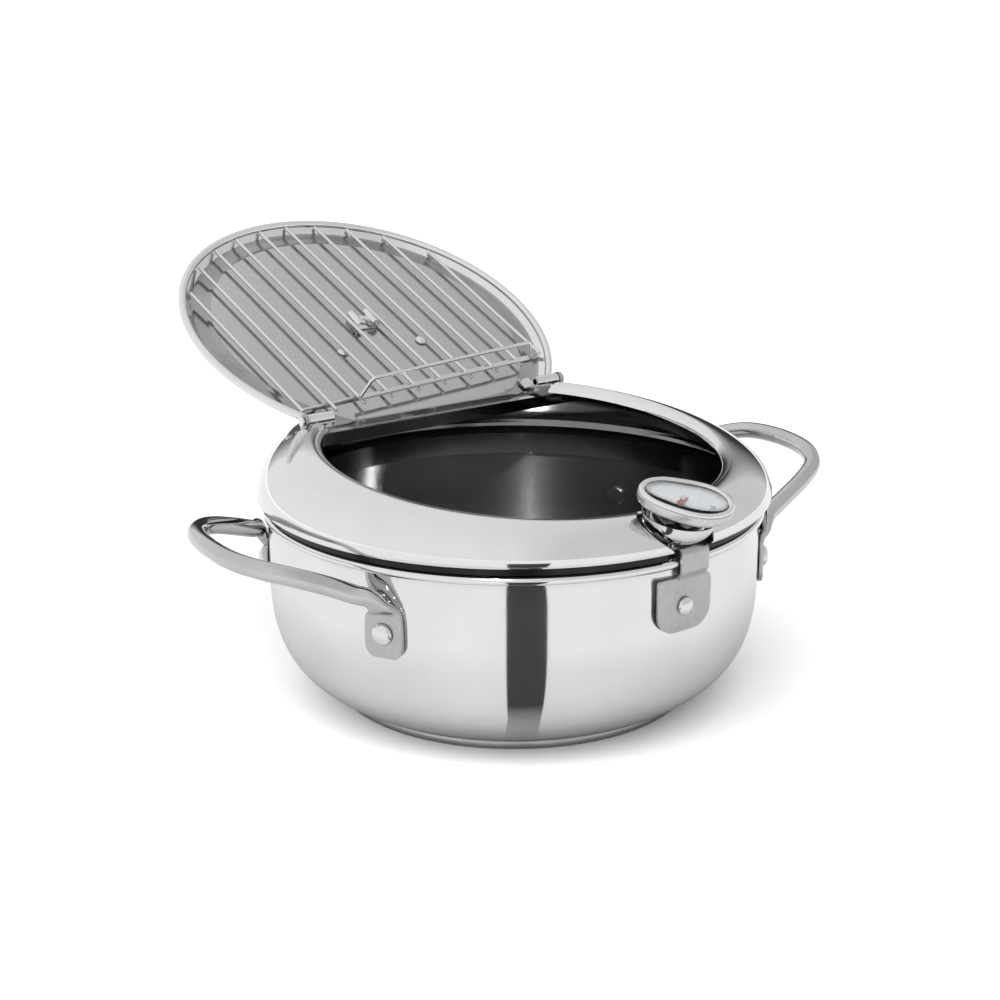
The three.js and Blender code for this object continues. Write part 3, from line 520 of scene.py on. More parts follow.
def pot_body():
    start = BASE_HEIGHT + GAP
    upright = [(BELLY_RADIUS, BELLY_HEIGHT + step) for step in (10, 20, 27)]
    bead = arc(BELLY_RADIUS + 0.2, RIM_Z, RIM_BEAD, -80, 200, 22)
    inner = [(r - SHEET, z) for r, z in upright[::-1]]
    rings = [(0, start), (FLAT_RADIUS, start), *belly(0), *upright, *bead, *inner, *belly(SHEET)[::-1],
             (FLAT_RADIUS, start + SHEET), (0, start + SHEET)]
    made = raw_object("pot_shell", revolve(rings))
    dress(made, OUTER_STEEL, "pot", "polished_steel", "pot_body", sharp=60)

    def inside(at, normal):
        within = math.hypot(at.x, at.y) < BELLY_RADIUS - SHEET / 2 and at.z > start + 0.5
        return within and (at.x * normal.x + at.y * normal.y < 0 or normal.z > 0.9)

    # Painted shade: the faces inside the pot take the dark spun steel.
    second_material(made, SPUN_STEEL_PAINTED_SHADE, inside)
    return made


def base_disc():
    rings = [(0, 0), (BASE_RADIUS - 2, 0), *arc(BASE_RADIUS - 1.6, 1.6, 1.6, -80, 0, 8), (BASE_RADIUS, 3),
             (BASE_RADIUS - 0.4, BASE_HEIGHT), (0, BASE_HEIGHT)]
    dress(raw_object("base_plate", revolve(rings)), BASE_STEEL, "pot", "satin_steel", "base_disc")


def handle_stations(loop):
    """Stations from the front ear to the middle of a handle on the +X side."""
    ear = math.radians(EAR_ANGLE)
    seat = BELLY_RADIUS + GAP + EAR_THICKNESS / 2
    foot = (seat * math.cos(ear), -seat * math.sin(ear))
    half = EAR_WIDTH / 2
    flat = EAR_THICKNESS / 2
    marks = [
        (*foot, EAR_LOW, half * 0.62, flat, 7), (*foot, EAR_LOW + 1.2, half * 0.80, flat, 7),
        (*foot, EAR_LOW + 4, half * 0.97, flat, 7), (*foot, EAR_LOW + 9, half, flat, 7),
        (*foot, EAR_LOW + 16, half * 0.98, flat, 6), (*foot, EAR_LOW + 20.5, half * 0.88, flat * 1.15, 4.5),
        (104.6, -61.0, 75.8, half * 0.66, 2.4, 3), (107.9, -58.6, 80.0, ROD_RADIUS * 1.12, 3.6, 2.3),
    ]
    marks += [(x, -y, z, ROD_RADIUS, ROD_RADIUS, 2) for x, y, z in loop]
    path = smooth_path(marks, 8)
    across = Vector((math.sin(ear), math.cos(ear), 0))
    stations = []
    for i, (x, y, z, wide, thick, power) in enumerate(path):
        near, far = path[max(i - 1, 0)], path[min(i + 1, len(path) - 1)]
        along = (Vector(far[:3]) - Vector(near[:3])).normalized()
        if i == len(path) - 1:
            along = Vector((0, 1, 0))
        across = (across - along * across.dot(along)).normalized()
        stations.append((Vector((x, y, z)), across * wide, along.cross(across) * thick, power))
    return stations


def handle(name, node, half_turn, loop):
    front = handle_stations(loop)
    mirror = Matrix.Diagonal((1, -1, 1))
    rear = [(mirror @ c, mirror @ a, mirror @ o, p) for c, a, o, p in front[-2::-1]]
    stand = HANDLES @ turn(half_turn, "Z")
    made = raw_object(name, sweep(front + rear), stand)
    soften(made, 0.5, 60)
    # Painted shade: the handle takes the darker steel colour.
    dress(made, HANDLE_STEEL_PAINTED_SHADE, "pot", "bright_steel", node, sharp=50)
    second_material(made, SATIN_STEEL, lambda at, normal: at.z < EAR_TOP and abs(normal.z) < 0.5)


def rivet_profile(head, dome, shank, length, tail, tail_height):
    """A rivet's outline: its tail, its shank, and a domed head that sits at height 0."""
    edge = 0.35
    quarter = [math.pi / 2 * i / 12 for i in range(12)]
    cap = [(head * math.cos(a), edge + (dome - edge) * math.sin(a)) for a in quarter]
    foot = -length - tail_height
    return [(0, foot), (tail - 0.3, foot), (tail, foot + 0.3), (tail, -length), (shank, -length),
            (shank, 0), (head - 0.1, 0), *cap, (0, dome)]


def handle_rivets():
    seat = BELLY_RADIUS + 2 * GAP + EAR_THICKNESS
    length = 2 * GAP + EAR_THICKNESS + SHEET + 2 * GAP
    shape = revolve(rivet_profile(RIVET_HEAD, 3.0, 2.6, length, RIVET_HEAD, 1.0), 64)
    lay = move(seat, 0, RIVET_Z) @ turn(90, "Y")
    spots = {"right_front": -EAR_ANGLE, "right_rear": EAR_ANGLE, "left_front": 180 + EAR_ANGLE,
             "left_rear": 180 - EAR_ANGLE}
    for spot, angle in spots.items():
        made = raw_object("domed_rivet_" + spot, shape, HANDLES @ turn(angle, "Z") @ lay)
        dress(made, WIRE_STEEL, "pot", "bright_steel", "handle_rivet_" + spot)


# ---- Bracket ---------------------------------------------------------------------------------------
def bracket():
    left, right = -PLATE_WIDTH / 2, PLATE_WIDTH / 2
    strap_left = STRAP_OFFSET - STRAP_WIDTH / 2
    strap_right = STRAP_OFFSET + STRAP_WIDTH / 2
    corner = 10
    outline = [
        *arc(left + corner, PLATE_LOW + corner, corner, 180, 270, 10),
        *arc(right - corner, PLATE_LOW + corner, corner, 270, 360, 10),
        *arc(right - 4, PLATE_HIGH - 4, 4, 0, 60, 5), (strap_right, PLATE_HIGH), (strap_left, PLATE_HIGH),
        *arc(left + 1.5, PLATE_HIGH - 1.5, 1.5, 90, 180, 4),
    ]
    upright = turn(90, "X")
    made = raw_object("bracket_strip", extrude(outline, 0, STRIP), BRACKET @ move(0, BRACKET_Y, 0) @ upright)
    middle = [(BRACKET_Y - STRIP / 2, PLATE_HIGH - 3), (BRACKET_Y - STRIP / 2, PLATE_HIGH - 1.2),
              (BRACKET_Y - 1.6, PLATE_HIGH + 0.6), (STRAP_Y - STRIP / 2, PLATE_HIGH + 2.6),
              *arc(STRAP_Y - STRIP / 2 + 3, TAB_TOP - STRIP / 2 - 3, 3, 180, 90, 8),
              (STRAP_Y + 6, TAB_TOP - STRIP / 2)]
    lie_along_x = Matrix(((0, 0, 1, 0), (1, 0, 0, 0), (0, 1, 0, 0), (0, 0, 0, 1)))
    strap = extrude(thickened(middle, STRIP), strap_left, strap_right)
    carve(made, strap, "UNION", BRACKET @ lie_along_x)
    tab = box((TAB_LEFT, STRAP_Y + 3.2, TAB_TOP - STRIP), (strap_right, TAB_INNER_Y, TAB_TOP))
    carve(made, tab, "UNION", BRACKET)
    half = SLOT_WIDTH / 2
    mouth = TAB_INNER_Y + 1
    slot = [(STEM_X + half, mouth), (STEM_X - half, mouth),
            *arc(STEM_X, STEM_Y - 0.5, half, 180, 360, 12)]
    carve(made, extrude(slot, TAB_TOP - 5, TAB_TOP + 5), "DIFFERENCE", BRACKET)
    soften(made, 0.25, 30)
    dress(made, SATIN_STEEL, "pot", "satin_steel", "thermometer_bracket", sharp=35)
    reach = -BRACKET_Y - BELLY_RADIUS + SHEET + STRIP + 4 * GAP
    rivet = revolve(rivet_profile(4.2, 2.4, 2.6, reach, 4.2, 1.0), 64)
    lay = move(0, BRACKET_Y - STRIP - GAP, BRACKET_RIVET_Z) @ turn(90, "X")
    stud = raw_object("bracket_stud", rivet, BRACKET @ lay)
    dress(stud, WIRE_STEEL, "pot", "bright_steel", "bracket_rivet")


def thickened(line, thickness):
    """An outline round a line of points, half the thickness to each side."""
    sides = ([], [])
    for i, point in enumerate(line):
        near, far = Vector(line[max(i - 1, 0)]), Vector(line[min(i + 1, len(line) - 1)])
        along = (far - near).normalized()
        out = Vector((along.y, -along.x)) * thickness / 2
        sides[0].append(tuple(Vector(point) + out))
        sides[1].append(tuple(Vector(point) - out))
    return sides[0] + sides[1][::-1]


# ---- Guard -----------------------------------------------------------------------------------------
def dome(inset):
    """Points of the guard's domed wall and roll, each (radius, height, share of the opening's lean)."""
    curve = bezier([(GUARD_RADIUS, GUARD_LIP_Z), (GUARD_RADIUS, GUARD_LIP_Z + SHOULDER_RISE),
                    (CREST_RADIUS + SHOULDER_RUN, CREST_Z), (CREST_RADIUS, CREST_Z)], 44)
    wall = [(at.x - along.y * inset, at.y + along.x * inset, t**LEAN_POWER) for t, at, along in curve]
    roll = arc(CREST_RADIUS, CREST_Z - ROLL_RADIUS, ROLL_RADIUS - inset, 90, 90 + ROLL_ANGLE, 16)
    return wall + [(r, z, 1.0) for r, z in roll[1:]]


def lean(shape, shares):
    """Shifts each ring of a turned shape to the front and slopes it, by the ring's share."""
    verts, faces = shape
    moved = []
    for i, (x, y, z) in enumerate(verts):
        share = shares[i]
        moved.append((x, y - share * OPENING_SHIFT, z + share * SLOPE * y))
    return moved, faces


def leaning(points):
    shares = [share for radius, _, share in points for _ in range(TURNS if radius > 0 else 1)]
    return lean(revolve([(radius, height) for radius, height, _ in points]), shares)


def sloping_box(low, high):
    verts, faces = box(low, high)
    return [(x, y, z + SLOPE * (y + OPENING_SHIFT)) for x, y, z in verts], faces


def still(points):
    """Points of the guard that take no share of its opening's lean."""
    return [(radius, height, 0.0) for radius, height in points]


def guard_ring():
    foot = still([(NECK_RADIUS - SHEET, NECK_LOW), (NECK_RADIUS, NECK_LOW), (NECK_RADIUS, LEDGE_Z),
                  (LEDGE_RADIUS, LEDGE_Z), (LEDGE_RADIUS, GUARD_LIP_Z - 2.2),
                  (LEDGE_RADIUS + 0.6, GUARD_LIP_Z - 1.5), (GUARD_RADIUS - 1.2, GUARD_LIP_Z - 1.1),
                  (GUARD_RADIUS - 0.3, GUARD_LIP_Z - 0.7)])
    back = still([(GUARD_RADIUS - 1.5, GUARD_LIP_Z - 0.1), (LEDGE_RADIUS - SHEET, GUARD_LIP_Z - 0.6),
                  (LEDGE_RADIUS - SHEET, LEDGE_Z + SHEET), (NECK_RADIUS - SHEET, LEDGE_Z + SHEET)])
    made = raw_object("guard_shell", leaning(foot + dome(0) + dome(SHEET)[::-1] + back))
    wide = GUARD_RADIUS + 5
    deck_top = CREST_Z - DECK_DROP
    carve(made, sloping_box((-wide, CREST_END, deck_top), (wide, wide, deck_top + 40)))
    filling = leaning([(0, GUARD_LIP_Z, 0.0)] + [p for p in dome(0.2) if p[2] < 1] + [(0, CREST_Z, 1.0)])
    deck = raw_object("deck", sloping_box((-wide, DECK_FRONT, deck_top - STRIP), (wide, wide, deck_top)))
    flange = sloping_box((-wide, DECK_FRONT, deck_top - DECK_FLANGE), (wide, DECK_FRONT + STRIP, deck_top))
    carve(deck, flange, "UNION")
    carve(deck, filling, "INTERSECT")
    combine(made, deck, "UNION")
    for tool in notch_tools():
        carve(made, tool, "DIFFERENCE", BRACKET)
    dress(made, OUTER_STEEL, "guard", "polished_steel", "guard_ring", sharp=35)
    # Painted shade: the guard's faces that look into the pot, or lie below its lip, take the dark steel
    # colour.
    second_material(made, INNER_STEEL_PAINTED_SHADE, hidden_side)
    second_material(made, SHADED_STEEL, in_groove)


def in_groove(at, normal):
    """Whether a face of the guard is on the outer side of its neck or ledge, or under its lip."""
    return at.z < GUARD_LIP_Z - 0.4 and math.hypot(at.x, at.y) > NECK_RADIUS - SHEET / 2


def hidden_side(at, normal):
    """Whether a face of the guard looks into the pot or into the groove above the pot's bead."""
    out = at.x * normal.x + at.y * normal.y
    inward = out < 0 and math.hypot(at.x, at.y + OPENING_SHIFT) > CREST_RADIUS - ROLL_RADIUS + 1.2
    below_lip = at.z < GUARD_LIP_Z - 0.4
    return below_lip or (inward and normal.z < 0.3 and at.z < CREST_Z + SLOPE * at.y - 2)


def notch_tools():
    """What the guard leaves open for the bracket and for the thermometer's bowl."""
    clear = 1.5
    right = STRAP_OFFSET + STRAP_WIDTH / 2 + clear
    left = STRAP_OFFSET - STRAP_WIDTH / 2 - 4
    high = STEM_Z + 8
    chamfered = [(left, STRAP_Y - 8), (right, STRAP_Y - 8), (right, STRAP_Y + 4), (left, STRAP_Y + 4)]
    inner = box((TAB_LEFT - clear, STRAP_Y + 1.2, NECK_LOW - 5), (right, TAB_INNER_Y + clear, high))
    wall = [(9, -3), (BOWL_RADIUS - 1, 5), (BOWL_RADIUS + 2, 9), (BOWL_RADIUS + 2.5, 30)]
    bowl = revolve([(0, -3), *wall, (0, 30)], 96)
    tilt = move(STEM_X, STEM_Y, STEM_Z) @ turn(STEM_TILT, "X")
    return [extrude(chamfered, NECK_LOW - 5, high), inner, placed(bowl, tilt)]


# ---- Lid -------------------------------------------------------------------------------------------
def lid_panel():
    centre = LID_RADIUS - LID_BEAD
    middle = 40
    inner = [(0, TRAY_DEPTH), (middle, TRAY_DEPTH), (GROOVE_INNER - 0.6, TRAY_DEPTH),
             (GROOVE_INNER, TRAY_DEPTH + 0.05), (GROOVE_INNER + 1.6, GROOVE_DEPTH - 0.05),
             (GROOVE_INNER + 2.2, GROOVE_DEPTH),
             (GROOVE_OUTER - 1.4, GROOVE_DEPTH), (GROOVE_OUTER - 0.4, GROOVE_DEPTH - 0.12),
             (GROOVE_OUTER + 0.4, GROOVE_DEPTH - 0.6)]
    outer = [(GROOVE_OUTER + 1.2, GROOVE_DEPTH + 0.1), (GROOVE_OUTER + 0.2, GROOVE_DEPTH + LID_SHEET - 0.1),
             (GROOVE_OUTER - 1, GROOVE_DEPTH + LID_SHEET), (GROOVE_INNER + 1.8, GROOVE_DEPTH + LID_SHEET),
             (GROOVE_INNER - 0.2, TRAY_DEPTH + LID_SHEET), (middle, TRAY_DEPTH + LID_SHEET),
             (0, TRAY_DEPTH + LID_SHEET)]
    rings = [*inner, *arc(centre, LID_BEAD, LID_BEAD, -205, 120, 30), *outer]
    made = raw_object("lid_dish", revolve(rings), LID @ move(0, -LID_REACH, 0))
    wide = LID_RADIUS + 5
    carve(made, box((-wide, -LID_EDGE, -5), (wide, wide, 20)), "DIFFERENCE", LID)
    for side in (-1, 1):
        ends = sorted((side * (KNUCKLE_X + 5), side * wide))
        carve(made, box((ends[0], -BEAD_START, -5), (ends[1], 5, 20)), "DIFFERENCE", LID)
    dress(made, LID_STEEL, "lid", "satin_steel", "lid_panel", sharp=50)
    back = LID.inverted()

    def outside(radius):
        def test(at, normal):
            local = back @ at
            return math.hypot(local.x, local.y + LID_REACH) > radius
        return test

    # Painted shade: the lid's groove takes the darker steel.
    second_material(made, CHANNEL_STEEL_PAINTED_SHADE, outside(GROOVE_INNER - 0.8))
    second_material(made, OUTER_STEEL, outside(GROOVE_OUTER + 0.8))


def lid_handle():
    low = TRAY_DEPTH + LID_SHEET + GAP
    half = HANDLE_LEG_X + HANDLE_BAND / 2
    top = low + HANDLE_HEIGHT - HANDLE_BAND / 2
    corner = 7
    heel = 1.6
    right = [(HANDLE_FOOT_X, low + HANDLE_BAND / 2), (half + 2, low + HANDLE_BAND / 2),
             *arc(half + heel, low + HANDLE_BAND / 2 + heel, heel, 270, 180, 4),
             *arc(half - corner, top - corner, corner, 0, 90, 10)]
    line = right + [(-x, y) for x, y in right[::-1]]
    near, far = STUD_REACH - HANDLE_WIDTH / 2, STUD_REACH + HANDLE_WIDTH / 2
    strap = extrude(thickened(line, HANDLE_BAND)[::-1], near, far)
    made = raw_object("lid_grip", strap, LID @ turn(90, "X"))
    soften(made, 0.3, 30)
    dress(made, SATIN_STEEL, "lid", "satin_steel", "lid_handle", sharp=35)


def lid_fittings():
    inside = TRAY_DEPTH - GAP
    length = LID_SHEET + 3 * GAP + HANDLE_BAND
    stud = revolve(rivet_profile(3.2, 2.0, 1.5, length, 2.8, 0.8), 48)
    for name, x in (("left", -STUD_X), ("right", STUD_X)):
        made = raw_object("lid_domed_stud_" + name, stud, LID @ move(x, -STUD_REACH, inside) @ turn(180, "X"))
        dress(made, WIRE_STEEL, "lid", "bright_steel", "lid_stud_" + name)
    head = inside - CLIP_SHEET - GAP
    rivet = revolve(rivet_profile(2.4, 1.0, 1.5, CLIP_SHEET + LID_SHEET + 3 * GAP, 2.8, 0.8), 48)
    made = raw_object("clip_stud", rivet, LID @ move(0, -CLIP_REACH, head) @ turn(180, "X"))
    dress(made, WIRE_STEEL, "lid", "bright_steel", "rack_clip_rivet")


def rack_clip():
    """The clip's strip runs across the wires and curls up at both ends."""
    top = TRAY_DEPTH - GAP - CLIP_SHEET / 2
    curl = 2.1
    end = CLIP_HALF - CLIP_SHEET / 2 - curl
    right = [(0, top), (end * 0.6, top), *arc(end, top - curl, curl, 90, -150, 20)]
    line = [(-x, y) for x, y in right[:0:-1]] + right
    strip = extrude(thickened(line, CLIP_SHEET), CLIP_REACH - CLIP_LENGTH / 2, CLIP_REACH + CLIP_LENGTH / 2)
    made = raw_object("curled_clip", strip, LID @ turn(90, "X"))
    soften(made, 0.15, 40)
    dress(made, WIRE_STEEL, "lid", "bright_steel", "rack_clip", sharp=40)


# ---- Rack ------------------------------------------------------------------------------------------
def crossing(x, reach, radius, side):
    """Where a long wire, at x, crosses a circle about a point of the lid's middle line."""
    away = CLIP_REACH - reach
    lean_angle = math.radians(-RACK_TURN)
    centre_x, centre_y = -away * math.sin(lean_angle), away * math.cos(lean_angle)
    return centre_y + side * math.sqrt(radius**2 - (x - centre_x) ** 2)


def rack():
    opening = (HINGE_Y + OPENING_SHIFT) / math.cos(math.radians(OPENING_TILT))
    for i in range(WIRE_COUNT):
        x = (i - (WIRE_COUNT - 1) / 2) * WIRE_PITCH
        start = min(WIRE_START, crossing(x, LID_REACH, START_RADIUS, 1))
        tip = crossing(x, opening, RACK_RADIUS, -1)
        path = [(x, start + (tip - start) * k / 12, WIRE_DEPTH) for k in range(13)]
        made = raw_object("long_wire_%d" % (i + 1), rod(path, WIRE_RADIUS), RACK)
        dress(made, WIRE_STEEL, "rack", "bright_steel", "rack_wire_%d" % (i + 1))
    path = [(CROSS_HALF * k / 8, CROSS_REACH, CROSS_DEPTH) for k in range(-8, 9)]
    made = raw_object("cross_wire", rod(path, CROSS_RADIUS), RACK)
    dress(made, WIRE_STEEL, "rack", "bright_steel", "rack_cross_wire")
    made = raw_object("fence_wire", rod(fence_path(), WIRE_RADIUS, True), RACK)
    dress(made, WIRE_STEEL, "rack", "bright_steel", "rack_fence_wire")


def fence_path():
    foot = WIRE_DEPTH - 2 * WIRE_RADIUS - GAP
    top = foot - FENCE_HEIGHT
    corners = [Vector(c) for c in (
        (FENCE_LEFT, FENCE_REACH, foot), (FENCE_RIGHT, FENCE_REACH, foot),
        (FENCE_RIGHT - 3.5, FENCE_REACH, top), (FENCE_LEFT + 6, FENCE_REACH, top))]
    path = []
    for i, corner in enumerate(corners):
        before = corner + (corners[i - 1] - corner).normalized() * 2
        after = corner + (corners[(i + 1) % 4] - corner).normalized() * 2
        for k in range(7):
            t = k / 6
            path.append(tuple(before * (1 - t) ** 2 + corner * 2 * t * (1 - t) + after * t**2))
    return path


# ---- Thermometer -----------------------------------------------------------------------------------
def head_radius(angle):
    waves = (size * math.cos(count * (angle - math.radians(at))) for size, count, at in HEAD_WAVES)
    return sum(waves, HEAD_RADIUS)


def head_shape(profile, turns=160):
    """A turned profile of (inset, height), measured inward from the head's outline. An inset of None
    is the axis."""
    nominal = 30
    verts, faces = revolve([(0 if inset is None else nominal - inset, z) for inset, z in profile], turns)
    moved = []
    for x, y, z in verts:
        radius = math.hypot(x, y)
        angle = math.atan2(y, x)
        wanted = head_radius(angle - math.radians(HEAD_TURN)) - (nominal - radius) if radius > 0 else 0
        moved.append((wanted * math.cos(angle), wanted * math.sin(angle), z))
    return moved, faces


def thermometer_case():
    hole = (STEM_RADIUS + GAP) / BOWL_FLATTEN
    outer = smooth_path([(3.4, 0), (8, 1), (12.6, 4), (15.4, 7.6), (BOWL_RADIUS, BOWL_DEPTH)], 8)
    inner = smooth_path([(BOWL_RADIUS - 0.8, BOWL_DEPTH), (14.6, 8), (12, 4.8), (7.6, 2), (3.4, 1)], 8)
    flatten = turn(HEAD_TURN, "Z") @ Matrix.Diagonal((1, BOWL_FLATTEN, 1, 1))
    shell = revolve([(hole, 1), (hole, 0.2), *outer, *inner], 128)
    bowl = raw_object("chrome_bowl", shell, THERMOMETER @ flatten)
    dress(bowl, OUTER_STEEL, "thermometer", "polished_steel", "case_bowl")
    cup = [(None, HEAD_FLOOR), (7, HEAD_FLOOR), (3, HEAD_FLOOR + 1.3), (1.4, HEAD_FLOOR + 2.2),
           (0.4, HEAD_FLOOR + 3.2), (0, HEAD_FLOOR + 4.2), (0, HEAD_TOP - 0.3), (0.3, HEAD_TOP),
           (HEAD_WALL, HEAD_TOP),
           (HEAD_WALL, HEAD_FLOOR + 4.2), (7, HEAD_FLOOR + 1.2), (None, HEAD_FLOOR + 1.2)]
    case = raw_object("pebble_case", head_shape(cup), THERMOMETER)
    bore = revolve([(0, 0), (STEM_RADIUS + GAP, 0), (STEM_RADIUS + GAP, 20), (0, 20)], 32)
    carve(case, bore, "DIFFERENCE", THERMOMETER)
    dress(case, CASE_PAINT, "thermometer", "case", "dial_case")


def thermometer_top():
    low = HEAD_TOP + GAP
    ring = [(3, low), (0.15, low), (0, low + 0.25), (0.15, low + 0.9), (0.6, low + 1.45),
            (1.3, low + BEZEL_HEIGHT), (2.1, low + BEZEL_HEIGHT - 0.1), (2.7, low + 1.2), (3, low + 0.9)]
    bezel = raw_object("bright_bezel", head_shape(ring), THERMOMETER)
    dress(bezel, OUTER_STEEL, "thermometer", "bright_steel", "dial_bezel")
    glass = [(None, low), (3.4, low), (3.4, low + 0.9), (4.2, low + 1.3), (6.5, low + 1.75),
             (9.5, low + 1.95), (None, low + 2)]
    lens = raw_object("domed_lens", head_shape(glass), THERMOMETER)
    dress(lens, LENS_GLASS, "thermometer", "lens", "dial_lens")
    top = CARD_HEIGHT + CARD_THICKNESS
    plate = [(None, CARD_HEIGHT), (2, CARD_HEIGHT), (2, top), (None, top)]
    card = raw_object("dial_card", head_shape(plate), THERMOMETER)
    dress(card, FACE_PRINT, "thermometer", "face", "dial_plate")


def dial_marks():
    """Graduations round the card: a red stretch, a dark one and a blue one."""
    bands = (("hot", RED_PRINT, -6, 54), ("working", DARK_PRINT, 60, 102), ("cool", BLUE_PRINT, 108, 180))
    level = CARD_HEIGHT + 0.42
    for name, material, first, last in bands:
        verts, faces = [], []
        for k, degrees in enumerate(range(first, last + 1, 6)):
            angle = math.radians(degrees + HEAD_TURN + 180)
            long = 4.2 if k % 3 == 0 else 2.4
            reach = head_radius(angle - math.radians(HEAD_TURN)) * 0.72
            stroke = box((reach - long, -0.3, level), (reach, 0.3, level + 0.08))
            corners, sides = placed(stroke, Matrix.Rotation(angle, 4, "Z"))
            faces += [[i + len(verts) for i in side] for side in sides]
            verts += corners
        made = raw_object("marks_" + name, (verts, faces), THERMOMETER)
        made.data.materials.append(material)
        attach(made, "thermometer")


def stem_and_pointer():
    low, high = -STEM_LENGTH, CARD_HEIGHT - 1.5
    tip = [(0, low), *[(r, z + low) for r, z in arc(0, STEM_RADIUS, STEM_RADIUS, -75, 0, 8)]]
    tube = [*tip, (STEM_RADIUS, high), (1.1, high), (1.1, low + 2), (0, low + 1.7)]
    stem = raw_object("stem", revolve(tube, 48), THERMOMETER)
    dress(stem, WIRE_STEEL, "thermometer", "satin_steel", "stem_tube")
    height = CARD_HEIGHT + 1
    outline = [(-0.55, -3), (0.55, -3), (0.5, 0), (0.12, 9.4), (-0.12, 9.4), (-0.5, 0)]
    stand = THERMOMETER @ turn(HEAD_TURN + POINTER_TURN, "Z")
    needle = raw_object("red_pointer", extrude(outline, height, height + 0.4), stand)
    soften(needle, 0.06)
    dress(needle, RED_PRINT, "pointer", "needle", "pointer")
    hub = [(0, height + 0.7), (1.2, height + 0.7), (1.3, height + 0.8), (1.2, height + 1.2),
           (0.6, height + 1.3), (0, height + 1.3)]
    cap = raw_object("pointer_cap", revolve(hub, 32), THERMOMETER)
    dress(cap, WIRE_STEEL, "pointer", "bright_steel", "pointer_hub")


# ---- Small CAD nodes that keep their shape -----------------------------------------------------------
def small_nodes():
    for side in ("left", "right"):
        dress_node("guard_hinge_" + side, SATIN_STEEL, 0.2)
        dress_node("lid_knuckle_" + side, WIRE_STEEL, 0.15)
        dress_node("hinge_pin_" + side, WIRE_STEEL, 0.15)
    dress_node("case_seal", SEAL_RUBBER)
    dress_node("bimetal_coil", BRASS, 0)
    dress_node("pointer_shaft", BRASS, 0)


# ---- Studio ------------------------------------------------------------------------------------------
def studio_world():
    """A white studio, a little darker to the right and dark straight behind the object, which the
    steel reflects."""
    world = bpy.data.worlds.new("studio")
    bpy.context.scene.world = world
    world.use_nodes = True
    tree = world.node_tree
    nodes, links = tree.nodes, tree.links
    mapping = nodes.new("ShaderNodeMapping")
    mapping.inputs["Rotation"].default_value = (0, 0, math.radians(CAMERA_TURN))
    links.new(nodes.new("ShaderNodeTexCoord").outputs["Generated"], mapping.inputs["Vector"])
    parts = nodes.new("ShaderNodeSeparateXYZ")
    links.new(mapping.outputs["Vector"], parts.inputs["Vector"])

    def stops(axis, values):
        shift = nodes.new("ShaderNodeMapRange")
        shift.inputs["From Min"].default_value = -1
        shift.inputs["From Max"].default_value = 1
        links.new(parts.outputs[axis], shift.inputs["Value"])
        ramp = nodes.new("ShaderNodeValToRGB")
        links.new(shift.outputs["Result"], ramp.inputs["Fac"])
        elements = ramp.color_ramp.elements
        while len(elements) < len(values):
            elements.new(0.5)
        for element, (at, value) in zip(elements, values):
            element.position = (at + 1) / 2
            element.color = (value, value, value, 1)
        return ramp.outputs["Color"]

    both = nodes.new("ShaderNodeMix")
    both.data_type = "RGBA"
    both.blend_type = "MULTIPLY"
    both.inputs["Factor"].default_value = 1
    links.new(stops("X", ((-1, 1.0), (0, 0.92), (0.3, 0.74), (1, 0.72))), both.inputs["A"])
    links.new(stops("Y", ((-1, 1.0), (0.84, 0.95), (0.95, 0.06), (1, 0.04))), both.inputs["B"])
    links.new(both.outputs["Result"], nodes["Background"].inputs["Color"])
    nodes["Background"].inputs["Strength"].default_value = 1.05


def soft_light(name, bearing, height, spread, power):
    """Light from a wide patch of the sky, which the steel doesn't show."""
    light = bpy.data.lights.new(name, "SUN")
    light.angle = math.radians(spread)
    light.energy = power
    made = bpy.data.objects.new(name, light)
    bpy.context.scene.collection.objects.link(made)
    made.matrix_world = turn(bearing, "Z") @ turn(90 - height, "X")
    made.visible_glossy = False


def streak_light(pot):
    """A small lamp from the front left that lights only the pot, for streaks down its spun inside."""
    light = bpy.data.lights.new("streak", "SUN")
    light.angle = math.radians(STREAK_SPREAD)
    light.energy = STREAK_POWER
    made = bpy.data.objects.new("streak", light)
    bpy.context.scene.collection.objects.link(made)
    made.matrix_world = turn(STREAK_BEARING, "Z") @ turn(STREAK_LEAN, "X")
    made.visible_diffuse = False
    lit = bpy.data.collections.new("streak_receivers")
    lit.objects.link(pot)
    made.light_linking.receiver_collection = lit


def floor():
    slab = box((-FLOOR_REACH, -FLOOR_REACH, -20), (FLOOR_REACH, FLOOR_REACH, 0))
    made = raw_object("studio_floor", slab)
    paper = Nodes("floor_paper")
    grain = paper.noise(paper.object_space((1, 1, 1)), 3, 2, 0.5)
    paper.link(paper.ramp(grain, grey(0.90), grey(0.92)), paper.shader.inputs["Base Color"])
    paper.shader.inputs["Roughness"].default_value = 0.9
    made.data.materials.append(paper.material)


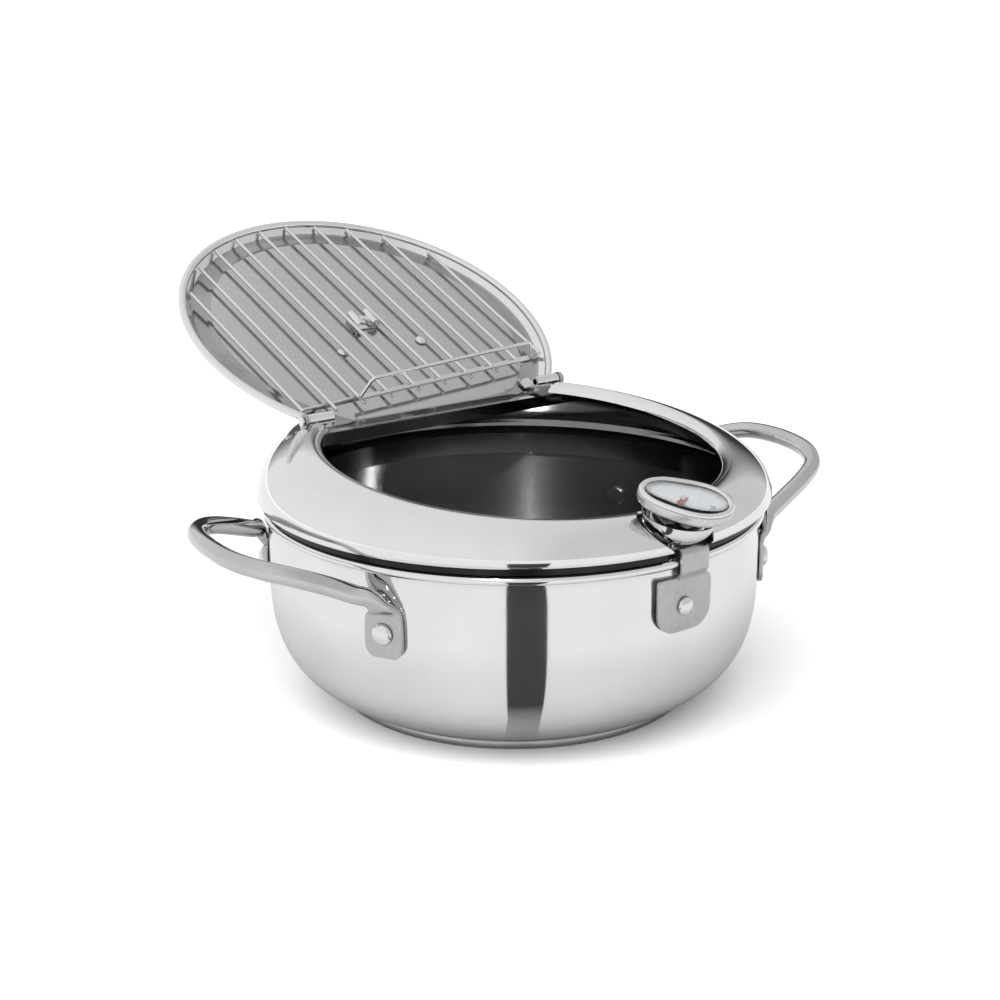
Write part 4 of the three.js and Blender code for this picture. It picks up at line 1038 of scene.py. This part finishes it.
def reflected_card(name, shape, matrix, near, far, start, end):
    """A card on the floor that only the steel shows, going from one grey to another outwards from the pot."""
    made = raw_object(name, shape, matrix)
    paper = Nodes(name + "_paper")
    away = paper.add("ShaderNodeVectorMath", operation="LENGTH")
    paper.link(paper.object_space((1, 1, 0)), away.inputs[0])
    share = paper.add("ShaderNodeMapRange")
    share.inputs["From Min"].default_value = start * MM
    share.inputs["From Max"].default_value = end * MM
    paper.link(away.outputs["Value"], share.inputs["Value"])
    shade = paper.ramp(share.outputs["Result"], grey(near), grey(far), 0, 1)
    paper.link(shade, paper.shader.inputs["Base Color"])
    paper.shader.inputs["Roughness"].default_value = 1.0
    made.data.materials.append(paper.material)
    made.visible_camera = False
    made.visible_diffuse = False
    made.visible_transmission = False
    made.visible_shadow = False


def reflected_cards():
    """Grey near the pot, as its own shade is, and a dark strip that widens with distance, so that it
    looks even in the pot's round wall."""
    disc = extrude(arc(0, 0, SHADE_RADIUS, 0, 356, 89), 0.3, 0.5)
    reflected_card("shade_card", disc, POT, near=0.46, far=0.70, start=85, end=260)
    half, length = 9.4, 330
    wide = half * (1 + 2 * length / BELLY_RADIUS)
    strip = [(-wide, -length), (wide, -length), (half, 0), (half * 0.75, 29), (-half * 0.75, 29), (-half, 0)]
    stand = turn(DARK_BEARING, "Z") @ move(0, -BELLY_RADIUS, 0) @ turn(DARK_SKEW, "Z")
    wedge = extrude(strip, 0.6, 0.8)
    reflected_card("dark_card", wedge, stand, near=0.42, far=0.03, start=92, end=135)


def camera():
    lens = bpy.data.cameras.new("camera")
    lens.lens = CAMERA_LENS
    lens.sensor_width = CAMERA_SENSOR
    lens.shift_x = CAMERA_SHIFT
    lens.clip_end = 100
    made = bpy.data.objects.new("camera", lens)
    bpy.context.scene.collection.objects.link(made)
    place = Vector(CAMERA_PLACE) * MM
    target = Vector(CAMERA_TARGET) * MM
    made.location = place
    made.rotation_euler = (target - place).to_track_quat("-Z", "Y").to_euler()
    bpy.context.scene.camera = made


def main():
    camera()
    bpy.context.scene.view_settings.view_transform = "Standard"
    studio_world()
    soft_light("key", bearing=-60, height=55, spread=90, power=2.6)
    floor()
    reflected_cards()
    streak_light(pot_body())
    base_disc()
    handle("handle_bar_right", "handle_right", 0, RIGHT_LOOP)
    handle("handle_bar_left", "handle_left", 180, LEFT_LOOP)
    handle_rivets()
    bracket()
    guard_ring()
    lid_panel()
    lid_handle()
    lid_fittings()
    rack_clip()
    rack()
    thermometer_case()
    thermometer_top()
    dial_marks()
    stem_and_pointer()
    small_nodes()


main()
